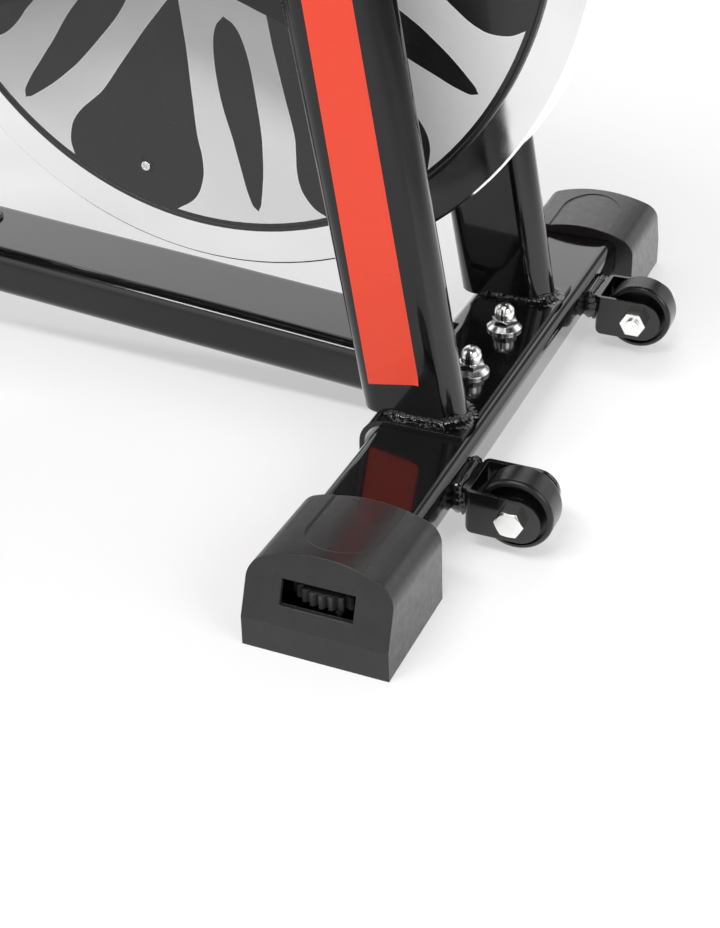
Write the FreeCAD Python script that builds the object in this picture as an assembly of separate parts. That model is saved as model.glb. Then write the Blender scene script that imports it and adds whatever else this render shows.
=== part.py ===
import FreeCAD, Part
import math
import os

# Indoor cycling bike with a front flywheel, millimetres.
# While it is built, x = 0 is the middle of the front stabiliser, +X points forwards, away from
# the rider, +Y is the rider's left and z = 0 is the floor. Every piece is then moved along X by
# origin_shift, so that the origin is the bottom centre of the whole bike's box.

V = FreeCAD.Vector
X_AXIS, Y_AXIS, Z_AXIS = V(1, 0, 0), V(0, 1, 0), V(0, 0, 1)
SIDES = {"right": -1, "left": 1}

# Clearances
fit = 0.05                     # running fit of a shaft in its bore, radial
slide_gap = 0.3                # gap round sliding tubes and beside turning pieces
far = 2000.0                   # reach of the blocks used for trimming

# Stabilisers and their end caps
wheelbase = 880.0              # front stabiliser to rear stabiliser
stabiliser_length = 586.0      # over the end caps
stabiliser_depth = 69.0        # along X
stabiliser_height = 30.0
stabiliser_radius = 8.0
stabiliser_wall = 2.0
stabiliser_floor = 23.0        # underside of the tube above the floor
stabiliser_setback = 2.5       # tube's middle behind the caps' middle
tube_end_inset = 69.0          # tube's end inside the cap's end face
cap_width = 93.8               # along X
cap_length = 84.4              # along Y
cap_inner_top = 62.0           # crown of the arch at the open end
cap_outer_top = 64.6           # crown of the arch at the closed end
cap_arch_radius = 100.0
cap_shoulder_radius = 15.0
cap_draft = 0.6                # how far each side leans in at the shoulder
cap_wall = 3.0
cap_band = 20.4                # height of the upright band on the end face
cap_tilt = 20.0                # lean of the end face above the band, degrees
cap_scoop_width = 47.0
cap_scoop_length = 60.0
cap_scoop_depth = 0.5
cap_scoop_fade = 1.6           # sideways shift that lets the dish run out towards the front
window_width = 46.5
window_bottom = 32.0
window_top = 47.6

# Levelling feet, one in each end cap
level_wheel_radius = 28.0
level_wheel_bottom = 31.0
level_wheel_height = 9.0
level_wheel_teeth = 28
level_tooth_depth = 3.2
level_wheel_inset = 39.0       # axis inside the cap's end face
level_hub_radius = 10.0
level_stud_radius = 5.0
level_foot_radius = 14.0
level_foot_thickness = 5.0
level_foot_rest = 1.0          # underside of the retracted foot above the floor
level_stud_top = 59.8
level_tongue = 4.0             # thickness of the steel tongue that backs the wheel
level_tongue_width = 46.0
level_ledge = 3.5              # thickness of the ledge that carries the wheel
level_ledge_setback = 15.0     # ledge's outer edge behind the wheel's rim

# Plates that saddle the stabilisers, and their carriage bolts
plate_thickness = 3.6
plate_front = 24.0
plate_half_length = {"front": 116.0, "rear": 70.0}
plate_lip_bottom = 27.0
plate_lip_gap = 7.4            # stabiliser's rear face to the lip
bolt_radius = 5.0
bolt_spread = 34.0             # bolts stand at +Y and -Y of the middle
washer_radius = 12.5
washer_thickness = 2.0         # flat washers on the axle
washer_rim = 1.8               # cupped washers under the domed nuts
washer_crown = 4.6             # height of the cupped washer where the nut sits
nut_across_flats = 16.0
nut_height = 8.0
dome_nut_height = 4.0          # hexagon below the dome
dome_radius = 7.2
dome_height = 11.4
carriage_head_radius = 11.0
carriage_head_height = 3.0

# Arched base beam
beam_width = 76.0
beam_height = 38.0
beam_radius = 11.0
beam_wall = 2.0
beam_end_height = 38.5         # middle of the beam at each plate
beam_slope = 4.4               # rise towards the middle, degrees

# Fork: two leaning legs, a crown over the flywheel and the head tube
leg_depth = 70.0               # fore and aft
leg_width = 30.0
leg_wall = 2.0
leg_spread = 92.0              # middle of each leg from the centre plane
leg_foot_x = -16.8             # middle of the legs at the plate's top
leg_lean = 10.2                # rearward lean, degrees
leg_length = 545.0
crown_height = 137.0
crown_corner = 72.0
crown_wall = 3.0
crown_edge = 12.0
head_length = 124.0

# Sliding posts and the tubes that hold them
post_tube_depth = 60.0
post_tube_width = 40.0
post_tube_radius = 12.0
post_tube_wall = 2.0
post_depth = 50.0
post_width = 30.0
post_radius = 8.0
post_wall = 2.0
bush_length = 60.0
bush_collar = 4.0

# Main tube, seat tube and crank shell
main_height = 60.0
main_width = 40.0
main_radius = 12.0
main_slope = 12.0              # falls towards the seat tube, degrees
crank_x, crank_z = -520.0, 345.0
seat_lean = 17.0               # rearward lean of the seat tube, degrees
seat_tube_above = 330.0        # length above the crank's axis
shell_radius = 23.0
shell_half = 38.0
bearing_width = 12.0
bearing_radius = 19.0

# Flywheel
wheel_x, wheel_z = -190.0, 363.0
rim_radius = 260.0
rim_width = 44.0
rim_bore = 230.0
rim_chamfer = 1.5
web_thickness = 4.0
hub_radius = 35.0
hub_half = 34.0
cover_radius = 234.0
cover_thickness = 2.5
cover_hole = 37.0
screw_count = 7
screw_circle = 205.0
screw_phase = -106.5           # direction of the first screw, degrees
screw_radius = 2.0
screw_head_radius = 3.6
screw_head_height = 1.6
boss_radius = 6.0
axle_radius = 7.5
axle_shoulder = 10.0
axle_end_radius = 6.0
axle_half = 114.0
dropout_thickness = 8.0
dropout_radius = 24.0
dropout_slot = 34.0
dropout_low, dropout_high = 255.0, 420.0   # weld length on the leg, from the leg's foot

# Belt drive, all on the rider's right
belt_middle = 52.0             # distance of the belt's middle from the centre plane
belt_width = 12.0
belt_thickness = 4.0
pulley_width = 16.0
pulley_flange = 1.5
flange_height = 4.6
crank_pulley_radius = 95.0
wheel_pulley_radius = 28.5
pulley_sleeve = 25.0
guard_wall = 2.5
guard_inner_face = 38.0
guard_outer_face = 68.5
guard_margin = 9.0

# Cranks and pedals
crank_axle_radius = 8.5
crank_length = 170.0
crank_angle = 28.0             # right crank above straight ahead, degrees
arm_inner, arm_thickness = 76.0, 14.0
arm_root_radius, arm_tip_radius = 17.0, 13.0
pedal_inner, pedal_length = 97.0, 90.0
pedal_depth, pedal_height = 96.0, 22.0
pedal_barrel = 12.0
spindle_radius = 6.0
cage_reach, cage_height, cage_strip = 58.0, 52.0, 3.0
cage_width = 74.0

# Brake on the main tube
brake_rod_radius = 5.0
brake_sleeve_radius = 8.0
pad_gap = 6.3                  # rim to pad when released
pad_thickness = 12.0
pad_length, pad_width = 64.0, 26.0
knob_radius, knob_height = 24.0, 26.0
push_travel = 3.0
pad_plate = 5.0                # steel plate that carries the pad
pad_neck = 3.0                 # threaded neck on top of that plate
tube_clearance = 0.8           # from that neck to the main tube when released

# Seat
post_seat_out = 150.0          # post above the seat tube, as set
post_inside = 140.0            # post hidden inside a tube, as set
sleeve_length = 90.0
slider_width, slider_height, slider_radius = 40.0, 28.0, 6.0
slider_length = 220.0
plug_depth, plug_head = 9.0, 3.0
sleeve_wall = 3.0
saddle_length, saddle_width, nose_width = 268.0, 204.0, 56.0
saddle_height = 62.0
saddle_base_thickness = 6.0
rail_radius, rail_spread, rail_drop = 3.5, 21.0, 34.0
rail_bend = 16.0
rail_over = 3.0                # rails above the top of the slider's stub
rail_rear, rail_rear_y = 108.0, 34.0       # rear ends of the rails, behind the clamp and from the middle
rail_front, rail_front_y = 118.0, 13.0
rail_flat_rear, rail_flat_front = 78.0, 74.0
saddle_clamp_length = 48.0
saddle_clamp_edge = 9.0        # clamp outside each rail
saddle_clamp_low, saddle_clamp_high = 20.0, 12.0
saddle_clamp_radius = 4.0
saddle_set_back = 128.0        # rear of the saddle behind the clamp's middle
clamp_stub_radius, clamp_stub = 11.0, 34.0
clamp_stub_inset = 14.0        # stub's axis ahead of the slider's rear end

# Handlebar
post_bar_out = 190.0
bar_radius = 14.0
bar_clamp_wall = 3.0
bar_clamp_width, bar_clamp_depth, bar_clamp_radius = 54.0, 50.0, 10.0
loop_radius = 11.0             # the inner loop is a thinner tube
bar_wall = 2.0
horn_bend, loop_bend = 46.0, 34.0
bar_half_width = 222.0
horn_reach = 150.0
horn_rise = 34.0
loop_half_width, loop_reach, loop_rise = 62.0, 150.0, 74.0
grip_wall = 3.5
grip_length = 112.0
console_width, console_height, console_depth = 116.0, 82.0, 22.0
console_reach = 84.0           # up the loop from the crossbar to the console's middle
console_sink = 4.0             # how deep the loop's tubes sit in the console's back

# Clamp knobs of the sliding posts
clamp_shank = 5.0
clamp_boss_radius = 9.0
clamp_boss = 12.0
clamp_head_radius, clamp_head = 23.0, 20.0

# Transport wheels
castor_radius, castor_width = 25.0, 22.0
castor_x, castor_z, castor_y = 72.3, 31.5, 141.2
castor_rim = 3.5
castor_recess = 4.0
castor_hub_radius = 11.0
castor_spacer_radius = 8.0     # spacers beside the hub
castor_axle_radius = 5.0
ear_thickness = 3.0
ear_gap = 0.6                  # spacer to each ear
ear_inside = 35.0              # between the ears
ear_offset = 4.1               # middle of the ears to the left of the wheel's middle
ear_top, ear_bottom = 46.0, 15.5
ear_reach = 19.0               # ahead of the wheel's axis
ear_bend = 4.0                 # outer radius of the bracket's folds
ear_heel = 6.0                 # rounding of its lower rear edge
bracket_back = 41.0            # rear face of the bracket's back plate

# Worked out from the sizes above
origin_shift = (wheelbase + cap_width / 2 - castor_x - castor_radius) / 2
tube_top = stabiliser_floor + stabiliser_height
plate_top = tube_top + plate_thickness
plate_bend = stabiliser_radius + plate_lip_gap + plate_thickness
plate_bend_x = stabiliser_radius - stabiliser_setback - stabiliser_depth / 2
plate_bend_z = plate_top - plate_bend
beam_ends = plate_bend - plate_bend_x
slope = math.radians(beam_slope)
clamp_screw_length = post_tube_depth / 2 - post_depth / 2 - slide_gap + clamp_boss + 4
lean = math.radians(leg_lean)
seat_tilt = math.radians(seat_lean)
wheel_centre = V(wheel_x, 0, wheel_z)
crank_centre = V(crank_x, 0, crank_z)
seat_up = V(-math.sin(seat_tilt), 0, math.cos(seat_tilt))
seat_back = V(-math.cos(seat_tilt), 0, -math.sin(seat_tilt))
fork_up = V(-math.sin(lean), 0, math.cos(lean))
fork_ahead = V(math.cos(lean), 0, math.sin(lean))
main_angle = math.radians(main_slope)
main_back = V(-math.cos(main_angle), 0, -math.sin(main_angle))
main_up = V(-math.sin(main_angle), 0, math.cos(main_angle))


def box(x0, x1, y0, y1, z0, z1):
    return Part.makeBox(x1 - x0, y1 - y0, z1 - z0, V(x0, y0, z0))


def rod(start, axis, radius, length):
    return Part.makeCylinder(radius, length, start, axis)


def pipe(start, axis, outer, inner, length):
    return rod(start, axis, outer, length).cut(rod(start, axis, inner, length))


def across(x, z, y0, y1, radius):
    """Cylinder along Y, from y0 to y1."""
    return rod(V(x, y0, z), Y_AXIS, radius, y1 - y0)


def mirrored(shape):
    return shape.mirror(V(0, 0, 0), Y_AXIS)


def fused(shapes):
    return shapes[0].fuse(shapes[1:]).removeSplitter() if len(shapes) > 1 else shapes[0]


def outline(points):
    return Part.Face(Part.makePolygon(list(points) + [points[0]]))


def rounded_face(centre, u, v, width, height, radius):
    """Rounded rectangle about centre, width along u and height along v."""
    a, b = width / 2, height / 2
    r = min(radius, a - 0.1, b - 0.1)
    k = r * (1 - math.sqrt(0.5))

    def at(p, q):
        return centre + u * p + v * q

    edges = []
    corners = [(a, b, 1, 1), (-a, b, -1, 1), (-a, -b, -1, -1), (a, -b, 1, -1)]
    arcs = []
    for p, q, sp, sq in corners:
        side, top = at(p, q - sq * r), at(p - sp * r, q)
        middle = at(p - sp * k, q - sq * k)
        arcs.append((side, middle, top) if sp * sq > 0 else (top, middle, side))
    for i, (first, middle, last) in enumerate(arcs):
        edges.append(Part.Arc(first, middle, last).toShape())
        edges.append(Part.LineSegment(last, arcs[(i + 1) % 4][0]).toShape())
    return Part.Face(Part.Wire(edges))


def bar(start, end, side, width, height, radius):
    """Straight bar from start to end, width along side."""
    run = end - start
    upright = side.cross(run)
    upright.normalize()
    return rounded_face(start, side, upright, width, height, radius).extrude(run)


def hollow(start, end, side, width, height, radius, wall):
    inner_radius = max(radius - wall, 0.5)
    inner = bar(start, end, side, width - 2 * wall, height - 2 * wall, inner_radius)
    return bar(start, end, side, width, height, radius).cut(inner)


def bent_rod(points, bend, radius):
    """Round bar along a polyline whose corners have the given bend radius."""
    edges = []
    last = points[0]
    for before, corner, after in zip(points, points[1:], points[2:]):
        back, ahead = (before - corner).normalize(), (after - corner).normalize()
        half = back.getAngle(ahead) / 2
        reach = bend / math.tan(half)
        middle = (back + ahead).normalize()
        bulge = corner + middle * (bend / math.sin(half) - bend)
        first, final = corner + back * reach, corner + ahead * reach
        edges.append(Part.LineSegment(last, first).toShape())
        edges.append(Part.Arc(first, bulge, final).toShape())
        last = final
    edges.append(Part.LineSegment(last, points[-1]).toShape())
    ring = Part.Wire(Part.Circle(points[0], points[1] - points[0], radius).toShape())
    return Part.Wire(edges).makePipeShell([ring], True, False)


def loop_plate(centre_a, radius_a, centre_b, radius_b, y0, y1):
    """Plate between y0 and y1 whose outline wraps two circles."""
    gap = centre_b - centre_a
    tilt = math.asin((radius_a - radius_b) / gap.Length)
    heading = math.atan2(gap.z, gap.x)
    points = []
    for sign in (1, -1):
        angle = heading + sign * (math.pi / 2 - tilt)
        ray = V(math.cos(angle), 0, math.sin(angle))
        pair = [centre_a + ray * radius_a, centre_b + ray * radius_b]
        points += pair if sign > 0 else pair[::-1]
    web = outline([V(p.x, y0, p.z) for p in points]).extrude(V(0, y1 - y0, 0))
    ends = [across(centre.x, centre.z, y0, y1, radius)
            for centre, radius in ((centre_a, radius_a), (centre_b, radius_b))]
    return fused([web] + ends)


def hexagon(centre, flats, height):
    corner = flats / math.sqrt(3)
    points = [centre + V(corner * math.cos(math.radians(60 * i)), corner * math.sin(math.radians(60 * i)), 0)
              for i in range(6)]
    return outline(points).extrude(V(0, 0, height))


def lobed(radius, lobes, depth, height):
    """Hand knob head on z = 0 with shallow finger grooves round it."""
    head = Part.makeCylinder(radius, height)
    groove = radius * math.pi / lobes * 0.62
    for i in range(lobes):
        angle = 2 * math.pi * (i + 0.5) / lobes
        reach = radius + groove - depth
        head = head.cut(rod(V(reach * math.cos(angle), reach * math.sin(angle), -1), Z_AXIS, groove, height + 2))
    return head


def aimed(shape, start, axis):
    """Moves a shape built along +Z so that it starts at start and points along axis."""
    placed = shape.copy()
    placed.Placement = FreeCAD.Placement(start, FreeCAD.Rotation(Z_AXIS, axis))
    return placed


def on_fork(ahead, y, up):
    return V(leg_foot_x, y, plate_top) + fork_ahead * ahead + fork_up * up


def turned(shape):
    """Swings a piece built at the front stabiliser round to face the rear one."""
    copy = shape.copy()
    copy.rotate(V(0, 0, 0), Z_AXIS, 180)
    copy.translate(V(-wheelbase, 0, 0))
    return copy


# Stabilisers

def stabiliser_bar(y0, y1, inset=0.0):
    middle = stabiliser_floor + stabiliser_height / 2
    return bar(V(-stabiliser_setback, y0, middle), V(-stabiliser_setback, y1, middle), X_AXIS,
               stabiliser_depth - 2 * inset, stabiliser_height - 2 * inset, stabiliser_radius - inset)


def stabiliser():
    half = stabiliser_length / 2 - tube_end_inset
    tube = stabiliser_bar(-half, half).cut(stabiliser_bar(-half, half, stabiliser_wall))
    for side in (-1, 1):
        tube = tube.cut(rod(V(0, side * bolt_spread, 0), Z_AXIS, bolt_radius + slide_gap, far))
    tongue_top = tube_top - stabiliser_wall
    reach = stabiliser_length / 2 - level_wheel_inset + level_hub_radius + 6
    tongue = box(-level_tongue_width / 2, level_tongue_width / 2, half - 40, reach,
                 tongue_top - level_tongue, tongue_top)
    axis_y = stabiliser_length / 2 - level_wheel_inset
    tongue = tongue.cut(rod(V(0, axis_y, 0), Z_AXIS, level_stud_radius + fit, far))
    return Part.makeCompound([tube, tongue, mirrored(tongue)])


def cap_section(y, crown, inset):
    """Closed wire of the cap's arch at y, drawn inside the outer skin by inset."""
    half = cap_width / 2 - inset
    top = crown - inset
    arch = cap_arch_radius - inset
    shoulder = cap_shoulder_radius - inset
    shoulder_half = half - cap_draft
    centre = V(0, y, top - arch)
    corner_x = shoulder_half - shoulder
    drop = math.sqrt((arch - shoulder) ** 2 - corner_x ** 2)
    corner = centre + V(corner_x, 0, drop)
    side = corner + V(shoulder, 0, 0)
    ray = (corner - centre).normalize()
    tangent = centre + ray * arch
    middle = (X_AXIS + ray).normalize() * shoulder + corner

    def flip(p):
        return V(-p.x, p.y, p.z)

    base = V(half, y, 0)
    edges = [
        Part.LineSegment(base, side).toShape(),
        Part.Arc(side, middle, tangent).toShape(),
        Part.Arc(tangent, centre + V(0, 0, arch), flip(tangent)).toShape(),
        Part.Arc(flip(tangent), flip(middle), flip(side)).toShape(),
        Part.LineSegment(flip(side), flip(base)).toShape(),
        Part.LineSegment(flip(base), base).toShape(),
    ]
    return Part.Wire(edges)


def cap_block(inset, y0, y1):
    rise = (cap_outer_top - cap_inner_top) / cap_length
    open_end = stabiliser_length / 2 - cap_length
    wires = [cap_section(y, cap_inner_top + rise * (y - open_end), inset) for y in (y0, y1)]
    return Part.makeLoft(wires, True, True)


def end_face_trim(inset):
    """Block outside the cap's end face, moved inwards by inset."""
    face = stabiliser_length / 2 - inset
    run = (far - cap_band) * math.tan(math.radians(cap_tilt))
    points = [V(-far, face, -far), V(-far, face, cap_band), V(-far, face - run, far),
              V(-far, far, far), V(-far, far, -far)]
    return outline(points).extrude(V(2 * far, 0, 0))


def scoop(open_y):
    """What the shallow thumb-shaped dish takes out of the cap's top."""
    half = cap_scoop_width / 2
    round_y = open_y + cap_scoop_length - half
    tool = fused([box(-half, half, open_y - 1, round_y, cap_inner_top / 2, far),
                  rod(V(0, round_y, cap_inner_top / 2), Z_AXIS, half, far)])
    bed = cap_block(cap_scoop_depth, open_y - 2, round_y + half + 2)
    bed.translate(V(cap_scoop_fade, 0, 0))
    return tool.cut(bed)


def end_cap():
    outer_y = stabiliser_length / 2
    open_y = outer_y - cap_length
    axis_y = outer_y - level_wheel_inset
    tube_end = outer_y - tube_end_inset
    ledge_top = level_wheel_bottom - slide_gap
    shell = cap_block(0, open_y, outer_y).cut(end_face_trim(0)).cut(scoop(open_y))
    cavity = cap_block(cap_wall, open_y + cap_wall, outer_y).cut(end_face_trim(cap_wall))
    cavity = cavity.cut(box(-far, far, -far, far, -far, cap_wall))
    ledge_start = axis_y - level_hub_radius - 6
    ledge_end = axis_y + level_wheel_radius - level_ledge_setback
    ledge = cavity.common(box(-far, far, ledge_start, ledge_end, ledge_top - level_ledge, ledge_top))
    ribs = [cavity.common(box(-far, far, y, y + cap_wall, 0, stabiliser_floor))
            for y in (open_y + 2 * cap_wall, tube_end - 2 * cap_wall)]
    shell = fused([shell.cut(cavity), ledge] + ribs).cut(stabiliser_bar(open_y - 1, tube_end))
    half = window_width / 2
    shell = shell.cut(box(-half, half, ledge_start, outer_y + 1, window_bottom, window_top))
    shell = shell.cut(rod(V(0, axis_y, -1), Z_AXIS, level_foot_radius + 1, cap_wall + 2))
    return shell.cut(rod(V(0, axis_y, 0), Z_AXIS, level_stud_radius + slide_gap, level_stud_top + slide_gap))


def level_foot():
    axis = V(0, stabiliser_length / 2 - level_wheel_inset, level_foot_rest)
    pad = rod(axis, Z_AXIS, level_foot_radius, level_foot_thickness)
    pad = pad.makeFillet(1.2, pad.Edges[:1])
    stud = rod(axis, Z_AXIS, level_stud_radius, level_stud_top - level_foot_rest)
    return fused([pad, stud])


def level_wheel():
    axis = V(0, stabiliser_length / 2 - level_wheel_inset, level_wheel_bottom)
    disc = rod(axis, Z_AXIS, level_wheel_radius, level_wheel_height)
    pitch = 2 * math.pi / level_wheel_teeth
    root = level_wheel_radius - level_tooth_depth
    outer = level_wheel_radius + 1
    half = outer * pitch * 0.42
    notch = outline([axis + V(root, 0, -1), axis + V(outer, -half, -1), axis + V(outer, half, -1)])
    notch = notch.extrude(V(0, 0, level_wheel_height + 2))
    notches = []
    for i in range(level_wheel_teeth):
        copy = notch.copy()
        copy.rotate(axis, Z_AXIS, math.degrees(pitch) * (i + 0.5))
        notches.append(copy)
    disc = disc.cut(Part.makeCompound(notches))
    collar_top = tube_top - stabiliser_wall - level_tongue - slide_gap
    collar = rod(axis, Z_AXIS, level_hub_radius, collar_top - level_wheel_bottom)
    bore = rod(axis - Z_AXIS, Z_AXIS, level_stud_radius + fit, far)
    return fused([disc, collar]).cut(bore)


# Plates over the stabilisers, with their bolts, washers and domed nuts

def under_plate(thickness):
    """Everything below and ahead of the plate's outer skin, drawn in by thickness."""
    radius = plate_bend - thickness
    return fused([box(plate_bend_x, far, -far, far, -far, plate_top - thickness),
                  box(plate_bend_x - radius, far, -far, far, -far, plate_bend_z),
                  across(plate_bend_x, plate_bend_z, -far, far, radius)])


def saddle_plate(half_length):
    sheet = under_plate(0).cut(under_plate(plate_thickness))
    plate = sheet.common(box(-far, plate_front, -half_length, half_length, plate_lip_bottom, far))
    for side in (-1, 1):
        plate = plate.cut(rod(V(0, side * bolt_spread, 0), Z_AXIS, bolt_radius + slide_gap, far))
    return plate


def carriage_fastener(y):
    head_bottom = stabiliser_floor - carriage_head_height
    sphere_radius = (carriage_head_radius ** 2 + carriage_head_height ** 2) / (2 * carriage_head_height)
    sphere = Part.makeSphere(sphere_radius, V(0, y, head_bottom + sphere_radius))
    head = sphere.common(box(-far, far, -far, far, -far, stabiliser_floor))
    nut_bottom = plate_top + washer_crown
    dome_bottom = nut_bottom + dome_nut_height
    wall = dome_height - dome_radius
    shank_top = dome_bottom + wall
    shank = rod(V(0, y, stabiliser_floor - 1), Z_AXIS, bolt_radius, shank_top - stabiliser_floor + 1)
    corner = nut_across_flats / math.sqrt(3)
    slope_height = washer_crown - washer_rim
    washer = fused([rod(V(0, y, plate_top), Z_AXIS, washer_radius, washer_rim),
                    Part.makeCone(washer_radius, corner, slope_height, V(0, y, plate_top + washer_rim), Z_AXIS)])
    washer = washer.cut(rod(V(0, y, 0), Z_AXIS, bolt_radius + slide_gap, far))
    face = nut_across_flats / 2 - 0.4
    chamfer = Part.makeCone(face + dome_nut_height * math.sqrt(3), face, dome_nut_height,
                            V(0, y, nut_bottom), Z_AXIS)
    nut = hexagon(V(0, y, nut_bottom), nut_across_flats, dome_nut_height).common(chamfer)
    dome = fused([rod(V(0, y, dome_bottom - 1), Z_AXIS, dome_radius, wall + 1),
                  Part.makeSphere(dome_radius, V(0, y, dome_bottom + wall))])
    nut = fused([nut, dome.common(box(-far, far, -far, far, nut_bottom, far))])
    nut = nut.cut(rod(V(0, y, nut_bottom - 1), Z_AXIS, bolt_radius + fit, shank_top - nut_bottom + 1.5))
    return [fused([head, shank]), washer, nut]


def plate_fasteners():
    pieces = [piece for y in (-bolt_spread, bolt_spread) for piece in carriage_fastener(y)]
    return Part.makeCompound(pieces + [turned(piece) for piece in pieces])


# Base beam

def beam_solid(inset):
    middle_x = -wheelbase / 2
    size = (beam_width - 2 * inset, beam_height - 2 * inset, max(beam_radius - inset, 0.5))
    run = -beam_ends - middle_x
    start = V(-beam_ends, 0, beam_end_height)
    end = start + V(-run, 0, run * math.tan(slope))
    step = (end - start) * 0.2
    front = bar(start - step, end + step, Y_AXIS, *size).cut(box(-far, middle_x, -far, far, -far, far))
    front = front.cut(box(plate_bend_x, far, -far, far, -far, far))
    rear = front.copy()
    rear.rotate(V(middle_x, 0, 0), Z_AXIS, 180)
    return fused([front, rear])


def base_beam():
    """The two halves of the arch, coped at their ends to the plates' bends."""
    beam = beam_solid(0).cut(beam_solid(beam_wall))
    return beam.cut(under_plate(0)).cut(turned(under_plate(0)))


def fork_legs():
    legs = []
    for side in SIDES.values():
        y = side * leg_spread
        leg = hollow(on_fork(0, y, -leg_depth), on_fork(0, y, leg_length), Y_AXIS,
                     leg_width, leg_depth, leg_width / 2, leg_wall)
        legs.append(leg.cut(box(-far, far, -far, far, -far, plate_top)))
    return Part.makeCompound(legs)


def crown_block(inset):
    outer = leg_spread + leg_width / 2 - inset
    arch = leg_spread - leg_width / 2 + inset
    corner = crown_corner - inset
    top = leg_length + crown_height - inset
    start = leg_length - (1 if inset else 0)
    shoulder = top - corner
    neck = outer - corner
    diagonal = corner * math.sqrt(0.5)
    back = -leg_depth / 2 + inset

    def at(y, up):
        return on_fork(back, y, up)

    edges = [
        Part.LineSegment(at(-outer, start), at(-outer, shoulder)).toShape(),
        Part.Arc(at(-outer, shoulder), at(-neck - diagonal, shoulder + diagonal), at(-neck, top)).toShape(),
        Part.LineSegment(at(-neck, top), at(neck, top)).toShape(),
        Part.Arc(at(neck, top), at(neck + diagonal, shoulder + diagonal), at(outer, shoulder)).toShape(),
        Part.LineSegment(at(outer, shoulder), at(outer, start)).toShape(),
        Part.LineSegment(at(outer, start), at(arch, start)).toShape(),
        Part.Arc(at(arch, start), at(0, start + arch), at(-arch, start)).toShape(),
        Part.LineSegment(at(-arch, start), at(-outer, start)).toShape(),
    ]
    block = Part.Face(Part.Wire(edges)).extrude(fork_ahead * (leg_depth - 2 * inset))
    faces = [on_fork(offset, 0, 0).dot(fork_ahead) for offset in (back, -back)]
    long_edges = []
    for edge in block.Edges:
        reaches = [vertex.Point.dot(fork_ahead) for vertex in edge.Vertexes]
        ups = [(vertex.Point - on_fork(0, 0, 0)).dot(fork_up) for vertex in edge.Vertexes]
        on_face = any(all(abs(reach - face) < 0.01 for reach in reaches) for face in faces)
        if on_face and not all(abs(up - start) < 0.01 for up in ups):
            long_edges.append(edge)
        elif on_face and edge.Length > 2 * arch:
            long_edges.append(edge)
    return block.makeFillet(crown_edge - inset, long_edges)


def fork_crown():
    top = leg_length + crown_height
    passage = bar(on_fork(0, 0, top - 2 * crown_wall), on_fork(0, 0, top), Y_AXIS,
                  post_tube_width - 2 * post_tube_wall, post_tube_depth - 2 * post_tube_wall,
                  post_tube_radius - post_tube_wall)
    return crown_block(0).cut(crown_block(crown_wall)).cut(passage)


def head_tube():
    low, high = leg_length + crown_height, leg_length + crown_height + head_length
    tube = post_tube(on_fork(0, 0, low), on_fork(0, 0, high))
    knob = head_knob_seat()
    boss = rod(knob + fork_ahead * post_tube_depth / 2, fork_ahead, clamp_boss_radius, clamp_boss)
    tube = fused([tube, boss])
    return tube.cut(rod(knob, fork_ahead, clamp_shank + fit, far))


def head_knob_seat():
    """Where the head tube's clamp screw meets the middle of the post."""
    return on_fork(0, 0, leg_length + crown_height + head_length - bush_length / 2)


def post_tube(start, end):
    return hollow(start, end, Y_AXIS, post_tube_width, post_tube_depth, post_tube_radius, post_tube_wall)


def dropout_plates():
    plates = []
    for side in SIDES.values():
        low, high = leg_spread - dropout_thickness / 2, leg_spread + dropout_thickness / 2
        rear = -leg_depth / 2 + 2 * leg_wall
        points = [on_fork(rear, low, dropout_low), on_fork(rear, low, dropout_high),
                  V(wheel_x, low, wheel_z + dropout_radius), V(wheel_x, low, wheel_z - dropout_radius)]
        plate = fused([outline(points).extrude(V(0, dropout_thickness, 0)),
                       across(wheel_x, wheel_z, low, high, dropout_radius)])
        reach = dropout_slot / 2 - axle_end_radius
        slot = fused([across(wheel_x + offset, wheel_z, low, high, axle_end_radius + fit)
                      for offset in (-reach, reach)]
                     + [box(wheel_x - reach, wheel_x + reach, low, high,
                            wheel_z - axle_end_radius - fit, wheel_z + axle_end_radius + fit)])
        leg = bar(on_fork(0, leg_spread, 0), on_fork(0, leg_spread, leg_length), Y_AXIS,
                  leg_width, leg_depth, leg_width / 2)
        plate = plate.cut(slot).cut(leg)
        plates.append(plate if side > 0 else mirrored(plate))
    return Part.makeCompound(plates)


# Main tube, seat tube and crank shell

def seat_tube_solid(inset=0.0):
    size = (post_tube_width - 2 * inset, post_tube_depth - 2 * inset, max(post_tube_radius - inset, 0.5))
    return bar(crank_centre - seat_up * crank_z, crank_centre + seat_up * seat_tube_above, Y_AXIS, *size)


def seat_knob_seat():
    """Where the seat tube's clamp screw meets the middle of the post."""
    return crank_centre + seat_up * (seat_tube_above - bush_length / 2)


def seat_tube():
    knob = seat_knob_seat()
    boss = rod(knob + seat_back * post_tube_depth / 2, seat_back, clamp_boss_radius, clamp_boss)
    tube = fused([seat_tube_solid(), boss]).cut(seat_tube_solid(post_tube_wall))
    tube = tube.cut(rod(knob, seat_back, clamp_shank + fit, far))
    beam = beam_solid(0)
    tube = tube.cut(beam).cut(box(-far, far, -far, far, -far, beam_end_height))
    tube = max(tube.Solids, key=lambda solid: solid.BoundBox.ZMax)
    return tube.cut(across(crank_x, crank_z, -shell_half, shell_half, shell_radius))


def crank_shell():
    inner = bearing_radius
    shell = across(crank_x, crank_z, -shell_half, shell_half, shell_radius)
    shell = shell.cut(across(crank_x, crank_z, -shell_half, shell_half, inner))
    pieces = [shell]
    for side in SIDES.values():
        ends = sorted((side * shell_half, side * (shell_half - bearing_width)))
        ring = across(crank_x, crank_z, ends[0], ends[1], inner)
        pieces.append(ring.cut(across(crank_x, crank_z, ends[0], ends[1], crank_axle_radius + fit)))
    return Part.makeCompound(pieces)


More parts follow.
